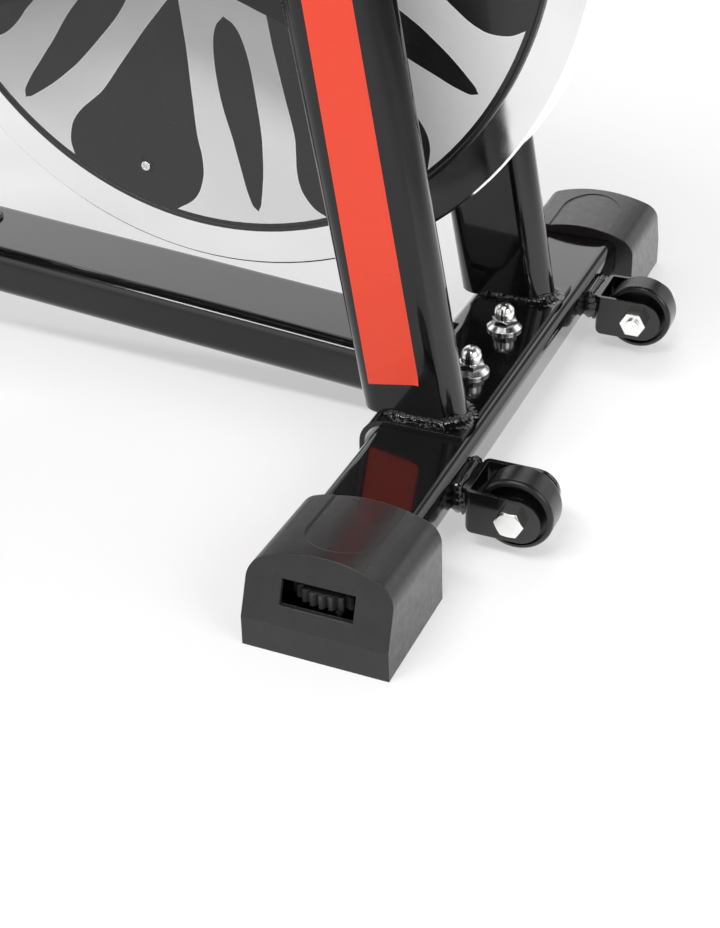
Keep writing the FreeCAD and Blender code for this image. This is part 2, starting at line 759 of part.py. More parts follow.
def main_start():
    """Where the main tube's middle line meets the rear of the fork."""
    foot = brake_foot()
    rear = on_fork(-leg_depth / 2, 0, 0)
    return foot + main_back * ((rear - foot).dot(fork_ahead) / main_back.dot(fork_ahead))


def main_tube():
    start = main_start()
    reach = (start - crank_centre).Length + post_tube_depth
    tube = hollow(start - main_back * leg_depth / 2, start + main_back * reach, Y_AXIS,
                  main_width, main_height, main_radius, post_tube_wall)
    neck = bar(on_fork(0, 0, leg_length), on_fork(0, 0, leg_length + crown_height + head_length), Y_AXIS,
               post_tube_width, post_tube_depth, post_tube_radius)
    tube = tube.cut(crown_block(0)).cut(neck).cut(seat_tube_solid())
    foot = brake_foot()
    tube = min(tube.Solids, key=lambda solid: abs(solid.CenterOfMass.x - foot.x))
    return tube.cut(rod(foot - main_up * main_height, main_up, brake_sleeve_radius + fit, 2 * main_height))


def brake_foot():
    """Point on the main tube's middle line that is straight above the flywheel's axis."""
    return on_brake(brake_height())


def post_bushes():
    pieces = []
    places = [(seat_knob_seat(), seat_up, seat_back), (head_knob_seat(), fork_up, fork_ahead)]
    for seat, up, knob_way in places:
        top = seat + up * bush_length / 2
        bottom = top - up * bush_length
        bush = bar(bottom, top, Y_AXIS, post_tube_width - 2 * post_tube_wall,
                   post_tube_depth - 2 * post_tube_wall, post_tube_radius - post_tube_wall)
        collar = bar(top, top + up * bush_collar, Y_AXIS, post_tube_width, post_tube_depth, post_tube_radius)
        space = bar(bottom - up, top + up * (bush_collar + 1), Y_AXIS, post_width + 2 * slide_gap,
                    post_depth + 2 * slide_gap, post_radius)
        bush = fused([bush, collar]).cut(space)
        pieces.append(bush.cut(rod(seat, knob_way, clamp_shank + fit, post_tube_depth)))
    return Part.makeCompound(pieces)


# Flywheel

def wheel_disc(radius, y0, y1):
    return across(wheel_x, wheel_z, y0, y1, radius)


def screw_places(radius):
    for i in range(screw_count):
        angle = math.radians(screw_phase + 360 / screw_count * i)
        yield wheel_x + radius * math.cos(angle), wheel_z + radius * math.sin(angle)


def flywheel():
    half = rim_width / 2
    rim = wheel_disc(rim_radius, -half, half)
    rim = rim.makeChamfer(rim_chamfer, [edge for edge in rim.Edges if edge.Closed])
    rim = rim.cut(wheel_disc(rim_bore, -half, half))
    web = wheel_disc(rim_bore, -web_thickness / 2, web_thickness / 2)
    hub = wheel_disc(hub_radius, -hub_half, hub_half)
    bosses = [across(x, z, -half, half, boss_radius) for x, z in screw_places(screw_circle)]
    wheel = fused([rim, web, hub] + bosses)
    wheel = wheel.cut(wheel_disc(bearing_radius, -hub_half, hub_half))
    for x, z in screw_places(screw_circle):
        wheel = wheel.cut(across(x, z, -half, half, screw_radius))
    return wheel


def flywheel_covers():
    low = rim_width / 2
    high = low + cover_thickness
    cover = wheel_disc(cover_radius, low, high)
    outer_edge = max((edge for edge in cover.Edges if edge.Closed),
                     key=lambda edge: edge.BoundBox.YMin)
    cover = cover.makeFillet(1.2, [outer_edge]).cut(wheel_disc(cover_hole, low, high))
    for x, z in screw_places(screw_circle):
        cover = cover.cut(across(x, z, low, high, screw_radius))
    return Part.makeCompound([cover, mirrored(cover)])


def flywheel_screws():
    face = rim_width / 2 + cover_thickness
    screws = []
    for x, z in screw_places(screw_circle):
        shank = across(x, z, face - 12, face, screw_radius)
        head = across(x, z, face, face + screw_head_height, screw_head_radius)
        top = max((edge for edge in head.Edges if edge.Closed), key=lambda edge: edge.BoundBox.YMin)
        head = head.makeFillet(0.9, [top])
        for turn in (45, 135):
            slot = box(x - 2.2, x + 2.2, face + screw_head_height - 0.8, face + 3, z - 0.4, z + 0.4)
            slot.rotate(V(x, 0, z), Y_AXIS, turn)
            head = head.cut(slot)
        screws.append(fused([shank, head]))
    return Part.makeCompound(screws + [mirrored(screw) for screw in screws])


def flywheel_bearings():
    pieces = []
    for y0 in (-hub_half, hub_half - bearing_width):
        ring = wheel_disc(bearing_radius, y0, y0 + bearing_width)
        pieces.append(ring.cut(wheel_disc(axle_radius, y0, y0 + bearing_width)))
    return Part.makeCompound(pieces)


def flywheel_axle():
    shoulder_end = leg_spread - dropout_thickness / 2
    shaft = fused([wheel_disc(axle_radius - fit, -hub_half - 1, hub_half + 1),
                   wheel_disc(axle_shoulder, hub_half + slide_gap, shoulder_end),
                   wheel_disc(axle_shoulder, -shoulder_end, -hub_half - slide_gap),
                   wheel_disc(axle_end_radius, -axle_half, axle_half)])
    pieces = [shaft]
    for side in SIDES.values():
        face = leg_spread + dropout_thickness / 2
        washer = wheel_disc(washer_radius, face, face + washer_thickness)
        washer = washer.cut(wheel_disc(axle_end_radius + fit, face, face + washer_thickness))
        nut = aimed(hexagon(V(0, 0, 0), 19.0, nut_height), V(wheel_x, face + washer_thickness, wheel_z), Y_AXIS)
        nut = nut.cut(wheel_disc(axle_end_radius + fit, face, far))
        pieces += [piece if side > 0 else mirrored(piece) for piece in (washer, nut)]
    return Part.makeCompound(pieces)


# Belt drive

def pulley(centre, radius, bore):
    low, high = -belt_middle - pulley_width / 2, -belt_middle + pulley_width / 2
    x, z = centre.x, centre.z
    body = fused([across(x, z, low, high, radius),
                  across(x, z, low, low + pulley_flange, radius + flange_height),
                  across(x, z, high - pulley_flange, high, radius + flange_height)])
    return body.cut(across(x, z, low, high, bore))


def crank_pulley():
    body = pulley(crank_centre, crank_pulley_radius, crank_axle_radius)
    middle = (crank_pulley_radius + 24) / 2
    for i in range(5):
        angle = math.radians(72 * i + 18)
        body = body.cut(across(crank_x + middle * math.cos(angle), crank_z + middle * math.sin(angle),
                               -far, far, 22))
    return body


def flywheel_pulley():
    body = pulley(wheel_centre, wheel_pulley_radius, axle_shoulder + 2.5)
    sleeve = wheel_disc(pulley_sleeve, -belt_middle + pulley_width / 2, -hub_half)
    return fused([body, sleeve.cut(wheel_disc(axle_shoulder + 2.5, -far, far))])


def belt():
    low, high = -belt_middle - belt_width / 2, -belt_middle + belt_width / 2
    radii = crank_pulley_radius + slide_gap, wheel_pulley_radius + slide_gap
    outer = loop_plate(crank_centre, radii[0] + belt_thickness, wheel_centre, radii[1] + belt_thickness,
                       low, high)
    return outer.cut(loop_plate(crank_centre, radii[0], wheel_centre, radii[1], low, high))


def guard_plate(inset, y0, y1):
    margin = guard_margin + flange_height - inset
    return loop_plate(crank_centre, crank_pulley_radius + margin, wheel_centre, wheel_pulley_radius + margin,
                      y0, y1)


def guard_inner():
    plate = guard_plate(0, -guard_inner_face - guard_wall, -guard_inner_face)
    plate = plate.cut(across(crank_x, crank_z, -far, far, crank_axle_radius + 3))
    return plate.cut(wheel_disc(pulley_sleeve + 3, -far, far))


def guard_outer():
    inner_y = -guard_inner_face - guard_wall
    shell = guard_plate(0, -guard_outer_face, inner_y)
    shell = shell.cut(guard_plate(guard_wall, -guard_outer_face + guard_wall, inner_y))
    shell = shell.cut(across(crank_x, crank_z, -far, far, crank_axle_radius + 3))
    return shell.cut(wheel_disc(axle_shoulder + fit, -far, far))


# Cranks and pedals

def crank_way(side):
    """Direction from the crank's axis to a pedal; the two are opposite."""
    angle = math.radians(crank_angle) + (0 if side < 0 else math.pi)
    return V(math.cos(angle), 0, math.sin(angle))


def crank_axle():
    half = arm_inner + arm_thickness
    return across(crank_x, crank_z, -half, half, crank_axle_radius)


def crank_arm(side):
    tip = crank_centre + crank_way(side) * crank_length
    y0, y1 = arm_inner, arm_inner + arm_thickness
    arm = loop_plate(crank_centre, arm_root_radius, tip, arm_tip_radius, y0, y1)
    arm = arm.makeFillet(2.5, [edge for edge in arm.Edges if edge.BoundBox.YLength < 0.01])
    arm = arm.cut(across(crank_x, crank_z, y0, y1, crank_axle_radius))
    cap = across(crank_x, crank_z, y1, y1 + 4, crank_axle_radius + 2)
    cap = cap.makeFillet(1.5, [max(cap.Edges, key=lambda edge: edge.BoundBox.YMin)])
    spindle = fused([across(tip.x, tip.z, y0, pedal_inner + pedal_length - 4, spindle_radius),
                     across(tip.x, tip.z, y1, y1 + 4, spindle_radius + 3)])
    arm = arm.cut(across(tip.x, tip.z, y0, y1, spindle_radius))
    pieces = [arm, cap, spindle]
    return Part.makeCompound([piece if side > 0 else mirrored(piece) for piece in pieces])


def toe_cage(tip):
    """Hoop that closes over the toes, as two curved strips joined at the front."""
    front = pedal_depth / 2
    low, high = -pedal_height / 2, cage_height
    reach = front + cage_reach

    def ribbon(inset):
        nose = reach - inset
        return Part.Face(Part.Wire([
            Part.LineSegment(V(front, 0, low + inset), V(nose - 30, 0, low + inset)).toShape(),
            Part.Arc(V(nose - 30, 0, low + inset), V(nose, 0, 14), V(nose - 26, 0, high - inset)).toShape(),
            Part.LineSegment(V(nose - 26, 0, high - inset), V(front - 26, 0, high + 8 - inset)).toShape(),
            Part.LineSegment(V(front - 26, 0, high + 8 - inset), V(front - 26, 0, 4)).toShape(),
            Part.LineSegment(V(front - 26, 0, 4), V(front, 0, 4)).toShape(),
            Part.LineSegment(V(front, 0, 4), V(front, 0, low + inset)).toShape()]))

    hoop = ribbon(0).extrude(V(0, cage_width, 0)).cut(ribbon(cage_strip).extrude(V(0, cage_width, 0)))
    hoop = hoop.cut(box(front - 40, front - 0.01, -1, far, low - 1, high - 12))
    slot = box(front + 4, reach - 16, 16, cage_width - 16, high - 14, high + 20)
    hoop = hoop.cut(slot)
    hoop.translate(V(tip.x, pedal_inner + (pedal_length - cage_width) / 2, tip.z))
    return hoop


def pedal(side):
    tip = crank_centre + crank_way(side) * crank_length
    y0, y1 = pedal_inner, pedal_inner + pedal_length
    half, rise = pedal_depth / 2, pedal_height / 2
    body = box(tip.x - half, tip.x + half, y0, y1, tip.z - rise, tip.z + rise)
    uprights = [edge for edge in body.Edges if edge.BoundBox.ZLength > rise]
    body = body.makeFillet(10, uprights)
    for way in (-1, 1):
        near, distant = sorted((tip.x + way * (pedal_barrel + 3), tip.x + way * (half - 9)))
        body = body.cut(box(near, distant, y0 + 9, y1 - 9, -far, far))
    body = fused([body, across(tip.x, tip.z, y0, y1, pedal_barrel), toe_cage(tip)])
    body = body.cut(across(tip.x, tip.z, y0 - 1, y1 - 3, spindle_radius + fit))
    return body if side > 0 else mirrored(body)


# Brake

def on_brake(height):
    return wheel_centre + main_up * height


def brake_height():
    """Height of the main tube's middle above the flywheel's axis, along the brake."""
    return pad_top() + pad_neck + tube_clearance + main_height / 2


def pad_top():
    return rim_radius + pad_gap + pad_thickness + pad_plate


def brake_sleeve():
    low = pad_top() + pad_neck + 4 * slide_gap
    high = brake_height() + main_height / 2 + push_travel + 6
    sleeve = rod(on_brake(low), main_up, brake_sleeve_radius, high - low)
    flange = rod(on_brake(high - 3), main_up, brake_sleeve_radius + 5, 3)
    return fused([sleeve, flange]).cut(rod(on_brake(low - 1), main_up, brake_rod_radius + fit, far))


def knob_base():
    return brake_height() + main_height / 2 + push_travel + 6 + slide_gap


def brake_rod():
    low = pad_top() - 4
    return rod(on_brake(low), main_up, brake_rod_radius, knob_base() + knob_height / 2 - low)


def brake_knob():
    head = lobed(knob_radius, 6, 3.0, knob_height)
    head = head.cut(Part.makeCylinder(brake_rod_radius, knob_height / 2))
    top = [edge for edge in head.Edges if edge.BoundBox.ZMin > knob_height - 0.01]
    head = head.makeFillet(2.0, top)
    return aimed(head, on_brake(knob_base()), main_up)


def brake_pad():
    low, high = rim_radius, pad_top()
    under = high - pad_plate
    block = bar(on_brake(low - pad_thickness), on_brake(under), Y_AXIS, pad_width, pad_length, 2.0)
    block = block.cut(wheel_disc(rim_radius + pad_gap, -far, far))
    plate = bar(on_brake(under), on_brake(high), Y_AXIS, pad_width, pad_length, 4.0)
    neck = rod(on_brake(high), main_up, brake_rod_radius + 3, pad_neck)
    space = rod(on_brake(under), main_up, brake_rod_radius + fit, pad_plate + pad_neck)
    return Part.makeCompound([block, fused([plate, neck]).cut(space)])


# Seat

def seat_post():
    top_seat = seat_knob_seat() + seat_up * bush_length / 2
    top = top_seat + seat_up * post_seat_out
    post = hollow(top_seat - seat_up * post_inside, top, Y_AXIS, post_width, post_depth, post_radius, post_wall)
    sleeve = slider_sleeve(top)
    outer = bar(*sleeve_ends(top), Y_AXIS, slider_width + 2 * (slide_gap + sleeve_wall),
                slider_height + 2 * (slide_gap + sleeve_wall), slider_radius + sleeve_wall)
    post = post.cut(outer).cut(box(-far, far, -far, far, sleeve_middle(top).z, far))
    knob = slide_knob_seat(top)
    boss = rod(knob - Y_AXIS * (slider_width / 2 + slide_gap + sleeve_wall), -Y_AXIS, clamp_boss_radius, 8)
    whole = fused([post, sleeve, boss])
    return whole.cut(rod(knob - Y_AXIS * (slider_width / 2), -Y_AXIS, clamp_shank + fit, far))


def seat_top():
    return seat_knob_seat() + seat_up * (bush_length / 2 + post_seat_out)


def sleeve_middle(top):
    return top + V(0, 0, slider_height / 2 + slide_gap + sleeve_wall)


def sleeve_ends(top):
    middle = sleeve_middle(top)
    return middle - X_AXIS * sleeve_length / 2, middle + X_AXIS * sleeve_length / 2


def slider_sleeve(top):
    start, end = sleeve_ends(top)
    wall = slide_gap + sleeve_wall
    outer = bar(start, end, Y_AXIS, slider_width + 2 * wall, slider_height + 2 * wall, slider_radius + sleeve_wall)
    inner = bar(start - X_AXIS, end + X_AXIS, Y_AXIS, slider_width + 2 * slide_gap,
                slider_height + 2 * slide_gap, slider_radius)
    return outer.cut(inner)


def slide_knob_seat(top):
    return sleeve_middle(top)


def seat_slider():
    middle = sleeve_middle(seat_top())
    half = X_AXIS * slider_length / 2
    slider = hollow(middle - half, middle + half, Y_AXIS, slider_width, slider_height, slider_radius, post_wall)
    stub_base = middle - half + V(clamp_stub_inset, 0, slider_height / 2)
    plugs = [end_plug(middle + half * way, X_AXIS * way) for way in (-1, 1)]
    return Part.makeCompound([slider, rod(stub_base, Z_AXIS, clamp_stub_radius, clamp_stub)] + plugs)


def end_plug(end, way):
    """Moulded plug in one end of the slider."""
    inner = bar(end - way * plug_depth, end, Y_AXIS, slider_width - 2 * post_wall,
                slider_height - 2 * post_wall, slider_radius - post_wall)
    head = bar(end, end + way * plug_head, Y_AXIS, slider_width, slider_height, slider_radius)
    rim = [edge for edge in head.Edges if abs((edge.CenterOfMass - end).dot(way) - plug_head) < 0.01]
    return fused([inner, head.makeFillet(plug_head / 2, rim)])


def saddle_middle():
    """Middle of the saddle clamp, on top of the slider's stub."""
    middle = sleeve_middle(seat_top())
    return middle + V(clamp_stub_inset - slider_length / 2, 0, slider_height / 2 + clamp_stub)


def saddle_frame():
    top = saddle_middle()
    pieces = []
    half = saddle_clamp_length / 2
    wide = rail_spread + saddle_clamp_edge
    clamp = box(top.x - half, top.x + half, -wide, wide, top.z - saddle_clamp_low, top.z + saddle_clamp_high)
    uprights = [edge for edge in clamp.Edges if edge.BoundBox.ZLength > saddle_clamp_radius]
    clamp = clamp.makeFillet(saddle_clamp_radius, uprights)
    clamp = clamp.cut(rod(V(top.x, 0, 0), Z_AXIS, clamp_stub_radius, top.z))
    rail_z = top.z + rail_over
    base_z = saddle_base_height()
    for side in (-1, 1):
        y = side * rail_spread
        points = [V(top.x - rail_rear, side * rail_rear_y, base_z),
                  V(top.x - rail_flat_rear, y, rail_z),
                  V(top.x + rail_flat_front, y, rail_z),
                  V(top.x + rail_front, side * rail_front_y, base_z)]
        rail = bent_rod(points, rail_bend, rail_radius)
        rail = rail.cut(box(-far, far, -far, far, base_z, far))
        clamp = clamp.cut(rod(V(top.x - half, y, rail_z), X_AXIS, rail_radius, saddle_clamp_length))
        pieces.append(rail)
    return Part.makeCompound([clamp] + pieces)


def saddle_outline(z, shrink):
    """Plan of the saddle at height z: broad at the back, a narrow nose in front."""
    top = saddle_middle()
    back = top.x - saddle_set_back + shrink
    front = top.x - saddle_set_back + saddle_length - shrink
    half, nose = saddle_width / 2 - shrink, nose_width / 2 - shrink
    points = [V(back, 0, z), V(back + 12, half * 0.62, z), V(back + 58, half, z), V(back + 112, half * 0.66, z),
              V(back + 165, nose + 8, z), V(front - 30, nose, z), V(front, 0, z)]
    points += [V(p.x, -p.y, z) for p in points[-2:0:-1]]
    curve = Part.BSplineCurve()
    curve.interpolate(points, PeriodicFlag=True)
    return Part.Wire(curve.toShape())


def saddle_base_height():
    return saddle_middle().z + rail_over + rail_drop


def saddle_base():
    low = saddle_base_height()
    wires = [saddle_outline(low, 10), saddle_outline(low + saddle_base_thickness, 6)]
    return Part.makeLoft(wires, True, False)


def saddle_pad():
    low = saddle_base_height() + saddle_base_thickness
    levels = [(0.0, 4.0), (0.3, 0.0), (0.75, 3.0), (1.0, 15.0)]
    wires = [saddle_outline(low + saddle_height * share, shrink) for share, shrink in levels]
    return Part.makeLoft(wires, True, False)


# Handlebar

def bar_middle():
    return on_fork(0, 0, leg_length + crown_height + head_length + bush_collar + post_bar_out)


def handlebar_post():
    seat = on_fork(0, 0, leg_length + crown_height + head_length)
    middle = bar_middle()
    half = bar_radius + bar_clamp_wall
    top = middle - fork_up * half
    post = hollow(seat - fork_up * post_inside, top, Y_AXIS, post_width, post_depth, post_radius, post_wall)
    block = bar(top, middle + fork_up * half, Y_AXIS, bar_clamp_width, bar_clamp_depth, bar_clamp_radius)
    block = block.cut(rod(V(middle.x, -far / 2, middle.z), Y_AXIS, bar_radius, far))
    return Part.makeCompound([post, block])


def bar_loops(inset):
    middle = bar_middle()
    x, z = middle.x, middle.z
    half = bar_half_width
    tip = V(horn_reach, 0, horn_rise)
    points = [V(x, -half, z) + tip, V(x, -half, z), V(x, half, z), V(x, half, z) + tip]
    rise = V(loop_reach, 0, loop_rise)
    low = [V(x, side * loop_half_width, z) for side in (-1, 1)]
    return [bent_rod(points, horn_bend, bar_radius - inset),
            bent_rod([low[0], low[0] + rise, low[1] + rise, low[1]], loop_bend, loop_radius - inset)]


def handlebar():
    horns, loop = bar_loops(0)
    bores = bar_loops(bar_wall)
    return fused([horns, loop.cut(bores[0])]).cut(fused([bores[0], bores[1]]))


def handlebar_grips():
    middle = bar_middle()
    run = V(horn_reach, 0, horn_rise)
    way = V(run.x, run.y, run.z).normalize()
    grips = []
    for side in (-1, 1):
        tip = V(middle.x, side * bar_half_width, middle.z) + run
        start = tip - way * (grip_length - 12)
        grip = pipe(start, way, bar_radius + grip_wall, bar_radius, grip_length - 12)
        end = rod(tip, way, bar_radius + grip_wall, 6)
        grips.append(fused([grip, end]))
    return Part.makeCompound(grips)


def console():
    loop_way = V(loop_reach, 0, loop_rise).normalize()
    loop_up = V(-loop_way.z, 0, loop_way.x)
    base = bar_middle() + loop_way * console_reach + loop_up * (loop_radius - console_sink)
    case = bar(base, base + loop_up * console_depth, Y_AXIS, console_width, console_height, 12)
    return case.cut(bar_loops(0)[1])


# Clamp knobs

def clamp_knob():
    """Knob with its screw, along +Z from the screw's tip."""
    shank = clamp_screw_length
    head = lobed(clamp_head_radius, 5, 3.0, clamp_head)
    head = head.makeFillet(2.0, [edge for edge in head.Edges if edge.BoundBox.ZMin > clamp_head - 0.01])
    head.translate(V(0, 0, shank))
    return fused([Part.makeCylinder(clamp_shank, shank), head])


def post_knob(seat, way):
    return aimed(clamp_knob(), seat + way * (post_depth / 2 + slide_gap), way)


def slide_knob():
    seat = slide_knob_seat(seat_top())
    return aimed(clamp_knob(), seat - Y_AXIS * (slider_width / 2 + slide_gap), -Y_AXIS)


# Transport wheels

def castor_ears(y):
    """Inner faces of the two ears that hold the wheel at y."""
    middle = y + ear_offset
    return middle - ear_inside / 2, middle + ear_inside / 2


def channel_block(low, high, inset):
    """Upright block round the wheel with its two rear edges folded, drawn in by inset."""
    block = box(bracket_back + inset, 2 * castor_x, low + inset, high - inset, 0, tube_top)
    folds = [edge for edge in block.Edges
             if edge.BoundBox.ZLength > 1 and edge.BoundBox.XMax < castor_x]
    return block.makeFillet(ear_bend - inset, folds)


def castor_bracket(y):
    low, high = [face + way * ear_thickness for face, way in zip(castor_ears(y), (-1, 1))]
    channel = channel_block(low, high, 0).cut(channel_block(low, high, ear_thickness))
    nose = (ear_top - ear_bottom) / 2
    nose_x = castor_x + ear_reach - nose
    side_view = fused([
        box(bracket_back + ear_heel, nose_x, low, high, ear_bottom, ear_top),
        box(bracket_back, nose_x, low, high, ear_bottom + ear_heel, ear_top),
        across(bracket_back + ear_heel, ear_bottom + ear_heel, low, high, ear_heel),
        across(nose_x, ear_bottom + nose, low, high, nose),
    ])
    front = stabiliser_depth / 2 - stabiliser_setback
    weld = box(front, bracket_back, low + ear_bend, high - ear_bend, stabiliser_floor + stabiliser_radius,
               tube_top - stabiliser_radius)
    bracket = fused([channel.common(side_view), weld])
    return bracket.cut(across(castor_x, castor_z, y - far, y + far, castor_axle_radius))


def castor_bolt(y):
    out = -1 if y < 0 else 1
    low, high = castor_ears(y)
    faces = [low - ear_thickness, high + ear_thickness]
    head_face, nut_face = faces if out < 0 else faces[::-1]
    nut_end = nut_face - out * (nut_height + 3)
    shaft = across(castor_x, castor_z, *sorted((head_face, nut_end)), castor_axle_radius)
    head = aimed(bolt_head(), V(castor_x, head_face, castor_z), Y_AXIS * out)
    hexagonal = hexagon(V(0, 0, 0), nut_across_flats + 1, nut_height)
    hexagonal.rotate(V(0, 0, 0), Z_AXIS, 30)
    nut = aimed(hexagonal, V(castor_x, nut_face, castor_z), Y_AXIS * -out)
    nut = nut.cut(across(castor_x, castor_z, y - far, y + far, castor_axle_radius))
    return [fused([shaft, head]), nut]


def bolt_head():
    flats, height = nut_across_flats + 1, 6.4
    face = 0.475 * flats
    chamfer = Part.makeCone(face + height * math.sqrt(3), face, height)
    head = hexagon(V(0, 0, 0), flats, height).common(chamfer)
    head.rotate(V(0, 0, 0), Z_AXIS, 30)
    return head


def castor_wheel(y):
    half = castor_width / 2
    wheel = across(castor_x, castor_z, y - half, y + half, castor_radius)
    wheel = wheel.makeFillet(3.0, [edge for edge in wheel.Edges if edge.Closed])
    for low in (y - half - 1, y + half - castor_recess):
        ring = across(castor_x, castor_z, low, low + castor_recess + 1, castor_radius - castor_rim)
        wheel = wheel.cut(ring)
    hub = across(castor_x, castor_z, y - half, y + half, castor_hub_radius)
    low, high = castor_ears(y)
    spacers = across(castor_x, castor_z, low + ear_gap, high - ear_gap, castor_spacer_radius)
    return fused([wheel, hub, spacers]).cut(across(castor_x, castor_z, -far, far, castor_axle_radius + fit))


def build():
    nodes = {
        "front_stabiliser": stabiliser(),
        "rear_stabiliser": turned(stabiliser()),
        "stabiliser_plates": Part.makeCompound([saddle_plate(plate_half_length["front"]),
                                                turned(saddle_plate(plate_half_length["rear"]))]),
        "plate_fasteners": plate_fasteners(),
        "base_beam": base_beam(),
        "fork_legs": fork_legs(),
        "fork_crown": fork_crown(),
        "head_tube": head_tube(),
        "dropout_plates": dropout_plates(),
        "main_tube": main_tube(),
        "seat_tube": seat_tube(),
        "crank_shell": crank_shell(),
        "post_bushes": post_bushes(),
        "wheel_brackets": Part.makeCompound([castor_bracket(side * castor_y) for side in SIDES.values()]),
        "wheel_bolts": Part.makeCompound([piece for side in SIDES.values()
                                          for piece in castor_bolt(side * castor_y)]),
        "flywheel_axle": flywheel_axle(),
        "guard_inner": guard_inner(),
        "guard_outer": guard_outer(),
        "drive_belt": belt(),
        "flywheel": flywheel(),
        "flywheel_covers": flywheel_covers(),
        "flywheel_screws": flywheel_screws(),
        "flywheel_bearings": flywheel_bearings(),
        "flywheel_pulley": flywheel_pulley(),
        "crank_axle": crank_axle(),
        "crank_pulley": crank_pulley(),
        "seat_post": seat_post(),
        "seat_slider": seat_slider(),
        "saddle_frame": saddle_frame(),
        "saddle_base": saddle_base(),
        "saddle_pad": saddle_pad(),
        "handlebar_post": handlebar_post(),
        "handlebar": handlebar(),
        "handlebar_grips": handlebar_grips(),
        "console": console(),
        "brake_sleeve": brake_sleeve(),
        "brake_rod": brake_rod(),
        "brake_knob": brake_knob(),
        "brake_pad": brake_pad(),
        "seat_height_knob": post_knob(seat_knob_seat(), seat_back),
        "seat_slide_knob": slide_knob(),
        "handlebar_knob": post_knob(head_knob_seat(), fork_ahead),
    }
    for name, side in SIDES.items():
        nodes["crank_arm_" + name] = crank_arm(side)
        nodes["pedal_" + name] = pedal(side)
        nodes["transport_wheel_" + name] = castor_wheel(side * castor_y)
    corner_pieces = {"end_cap": end_cap(), "level_foot": level_foot(), "level_wheel": level_wheel()}
    for piece, shape in corner_pieces.items():
        nodes[piece + "_front_left"] = shape
        nodes[piece + "_front_right"] = mirrored(shape)
        nodes[piece + "_rear_left"] = turned(mirrored(shape))
        nodes[piece + "_rear_right"] = turned(shape)
    return nodes


os.makedirs("parts", exist_ok=True)
for node, shape in build().items():
    placed = shape.copy()
    placed.translate(V(origin_shift, 0, 0))
    placed.exportStep("parts/" + node + ".step")
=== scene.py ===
import math

import bmesh
import bpy
from mathutils import Matrix, Vector, noise
from mathutils.bvhtree import BVHTree


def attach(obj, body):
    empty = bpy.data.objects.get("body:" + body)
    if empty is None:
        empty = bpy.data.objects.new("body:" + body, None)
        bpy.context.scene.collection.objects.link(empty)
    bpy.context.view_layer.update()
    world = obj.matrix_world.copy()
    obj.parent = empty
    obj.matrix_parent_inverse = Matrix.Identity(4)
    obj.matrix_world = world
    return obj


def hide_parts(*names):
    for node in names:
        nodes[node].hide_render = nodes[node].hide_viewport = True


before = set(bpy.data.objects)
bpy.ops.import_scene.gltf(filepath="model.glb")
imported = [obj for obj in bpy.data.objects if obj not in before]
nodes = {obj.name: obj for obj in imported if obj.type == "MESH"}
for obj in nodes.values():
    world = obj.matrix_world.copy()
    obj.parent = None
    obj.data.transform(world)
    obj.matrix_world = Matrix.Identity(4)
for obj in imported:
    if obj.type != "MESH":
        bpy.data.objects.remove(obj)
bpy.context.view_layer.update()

# Sizes are in millimetres and positions in the frame of the CAD source, where x = 0 is the middle of
# the front stabiliser. at() turns them into metres in Blender's world.
ORIGIN_X = 414.8
LEAN = math.radians(10.2)               # of the fork, backwards
SEAT_TILT = math.radians(17.0)
MAIN_SLOPE = math.radians(12.0)
BEAM_SLOPE = math.radians(4.4)
WHEEL = (-190.0, 363.0)
CRANK = (-520.0, 345.0)
CRANK_LENGTH = 170.0
CRANK_ANGLE = math.radians(28.0)
PLATE_TOP = 56.6
LEG_Y, LEG_DEPTH, LEG_WIDTH, LEG_LENGTH = 92.0, 70.0, 30.0, 545.0
CROWN_TOP = LEG_LENGTH + 137.0          # along the fork from its foot
HEAD_TOP = CROWN_TOP + 124.0
SEAT_TUBE_TOP = 330.0                   # along the seat tube from the crank's axis
SEAT_POST_OUT, BAR_POST_OUT = 150.0, 190.0
POST_HALF = 25.0                        # half a post's depth
BUSH_COLLAR = 4.0
SLIDER_HALF_LENGTH, SLIDER_HALF_HEIGHT = 110.0, 14.0
SLIDER_SEAT = 3.3                       # slider's underside above the post
BEAM_CREST, BEAM_BACK = 88.3, 440.0     # top of the arched beam, and how far back it is
COVER_Y = 24.5
CASTOR_Y = 141.2
BRACKET_SHIFT = 4.1                     # castor bracket's middle to the left of its wheel
SIDES = {"right": -1, "left": 1}
CORNERS = [f"{end}_{side}" for end in ("front", "rear") for side in SIDES]


def leaning(angle, ahead=1):
    """Unit vectors along a tube that leans back by angle, and square to it, forwards or backwards."""
    up = Vector((-math.sin(angle), 0, math.cos(angle)))
    return up, Vector((up.z, 0, -up.x)) * ahead


FORK_UP, FORK_AHEAD = leaning(LEAN)
SEAT_UP, SEAT_BACK = leaning(SEAT_TILT, -1)
MAIN_UP, MAIN_BACK = leaning(MAIN_SLOPE, -1)
X, Y, Z = Vector((1, 0, 0)), Vector((0, 1, 0)), Vector((0, 0, 1))
FORK_FOOT = Vector((-16.8, 0, PLATE_TOP))
CRANK_CENTRE = Vector((CRANK[0], 0, CRANK[1]))


def at(p):
    return Vector((p[0] + ORIGIN_X, p[1], p[2])) * 0.001


def on_fork(ahead, y, up):
    return FORK_FOOT + FORK_AHEAD * ahead + FORK_UP * up + Y * y


SEAT_TOP = CRANK_CENTRE + SEAT_UP * (SEAT_TUBE_TOP + SEAT_POST_OUT)
SLIDER_MIDDLE = SEAT_TOP + Z * (SLIDER_HALF_HEIGHT + SLIDER_SEAT)
BAR_MIDDLE = on_fork(0, 0, HEAD_TOP + BUSH_COLLAR + BAR_POST_OUT)


# Materials

def nodes_of(mat):
    tree = mat.node_tree
    shader = next(n for n in tree.nodes if n.type == "BSDF_PRINCIPLED")
    return tree, shader


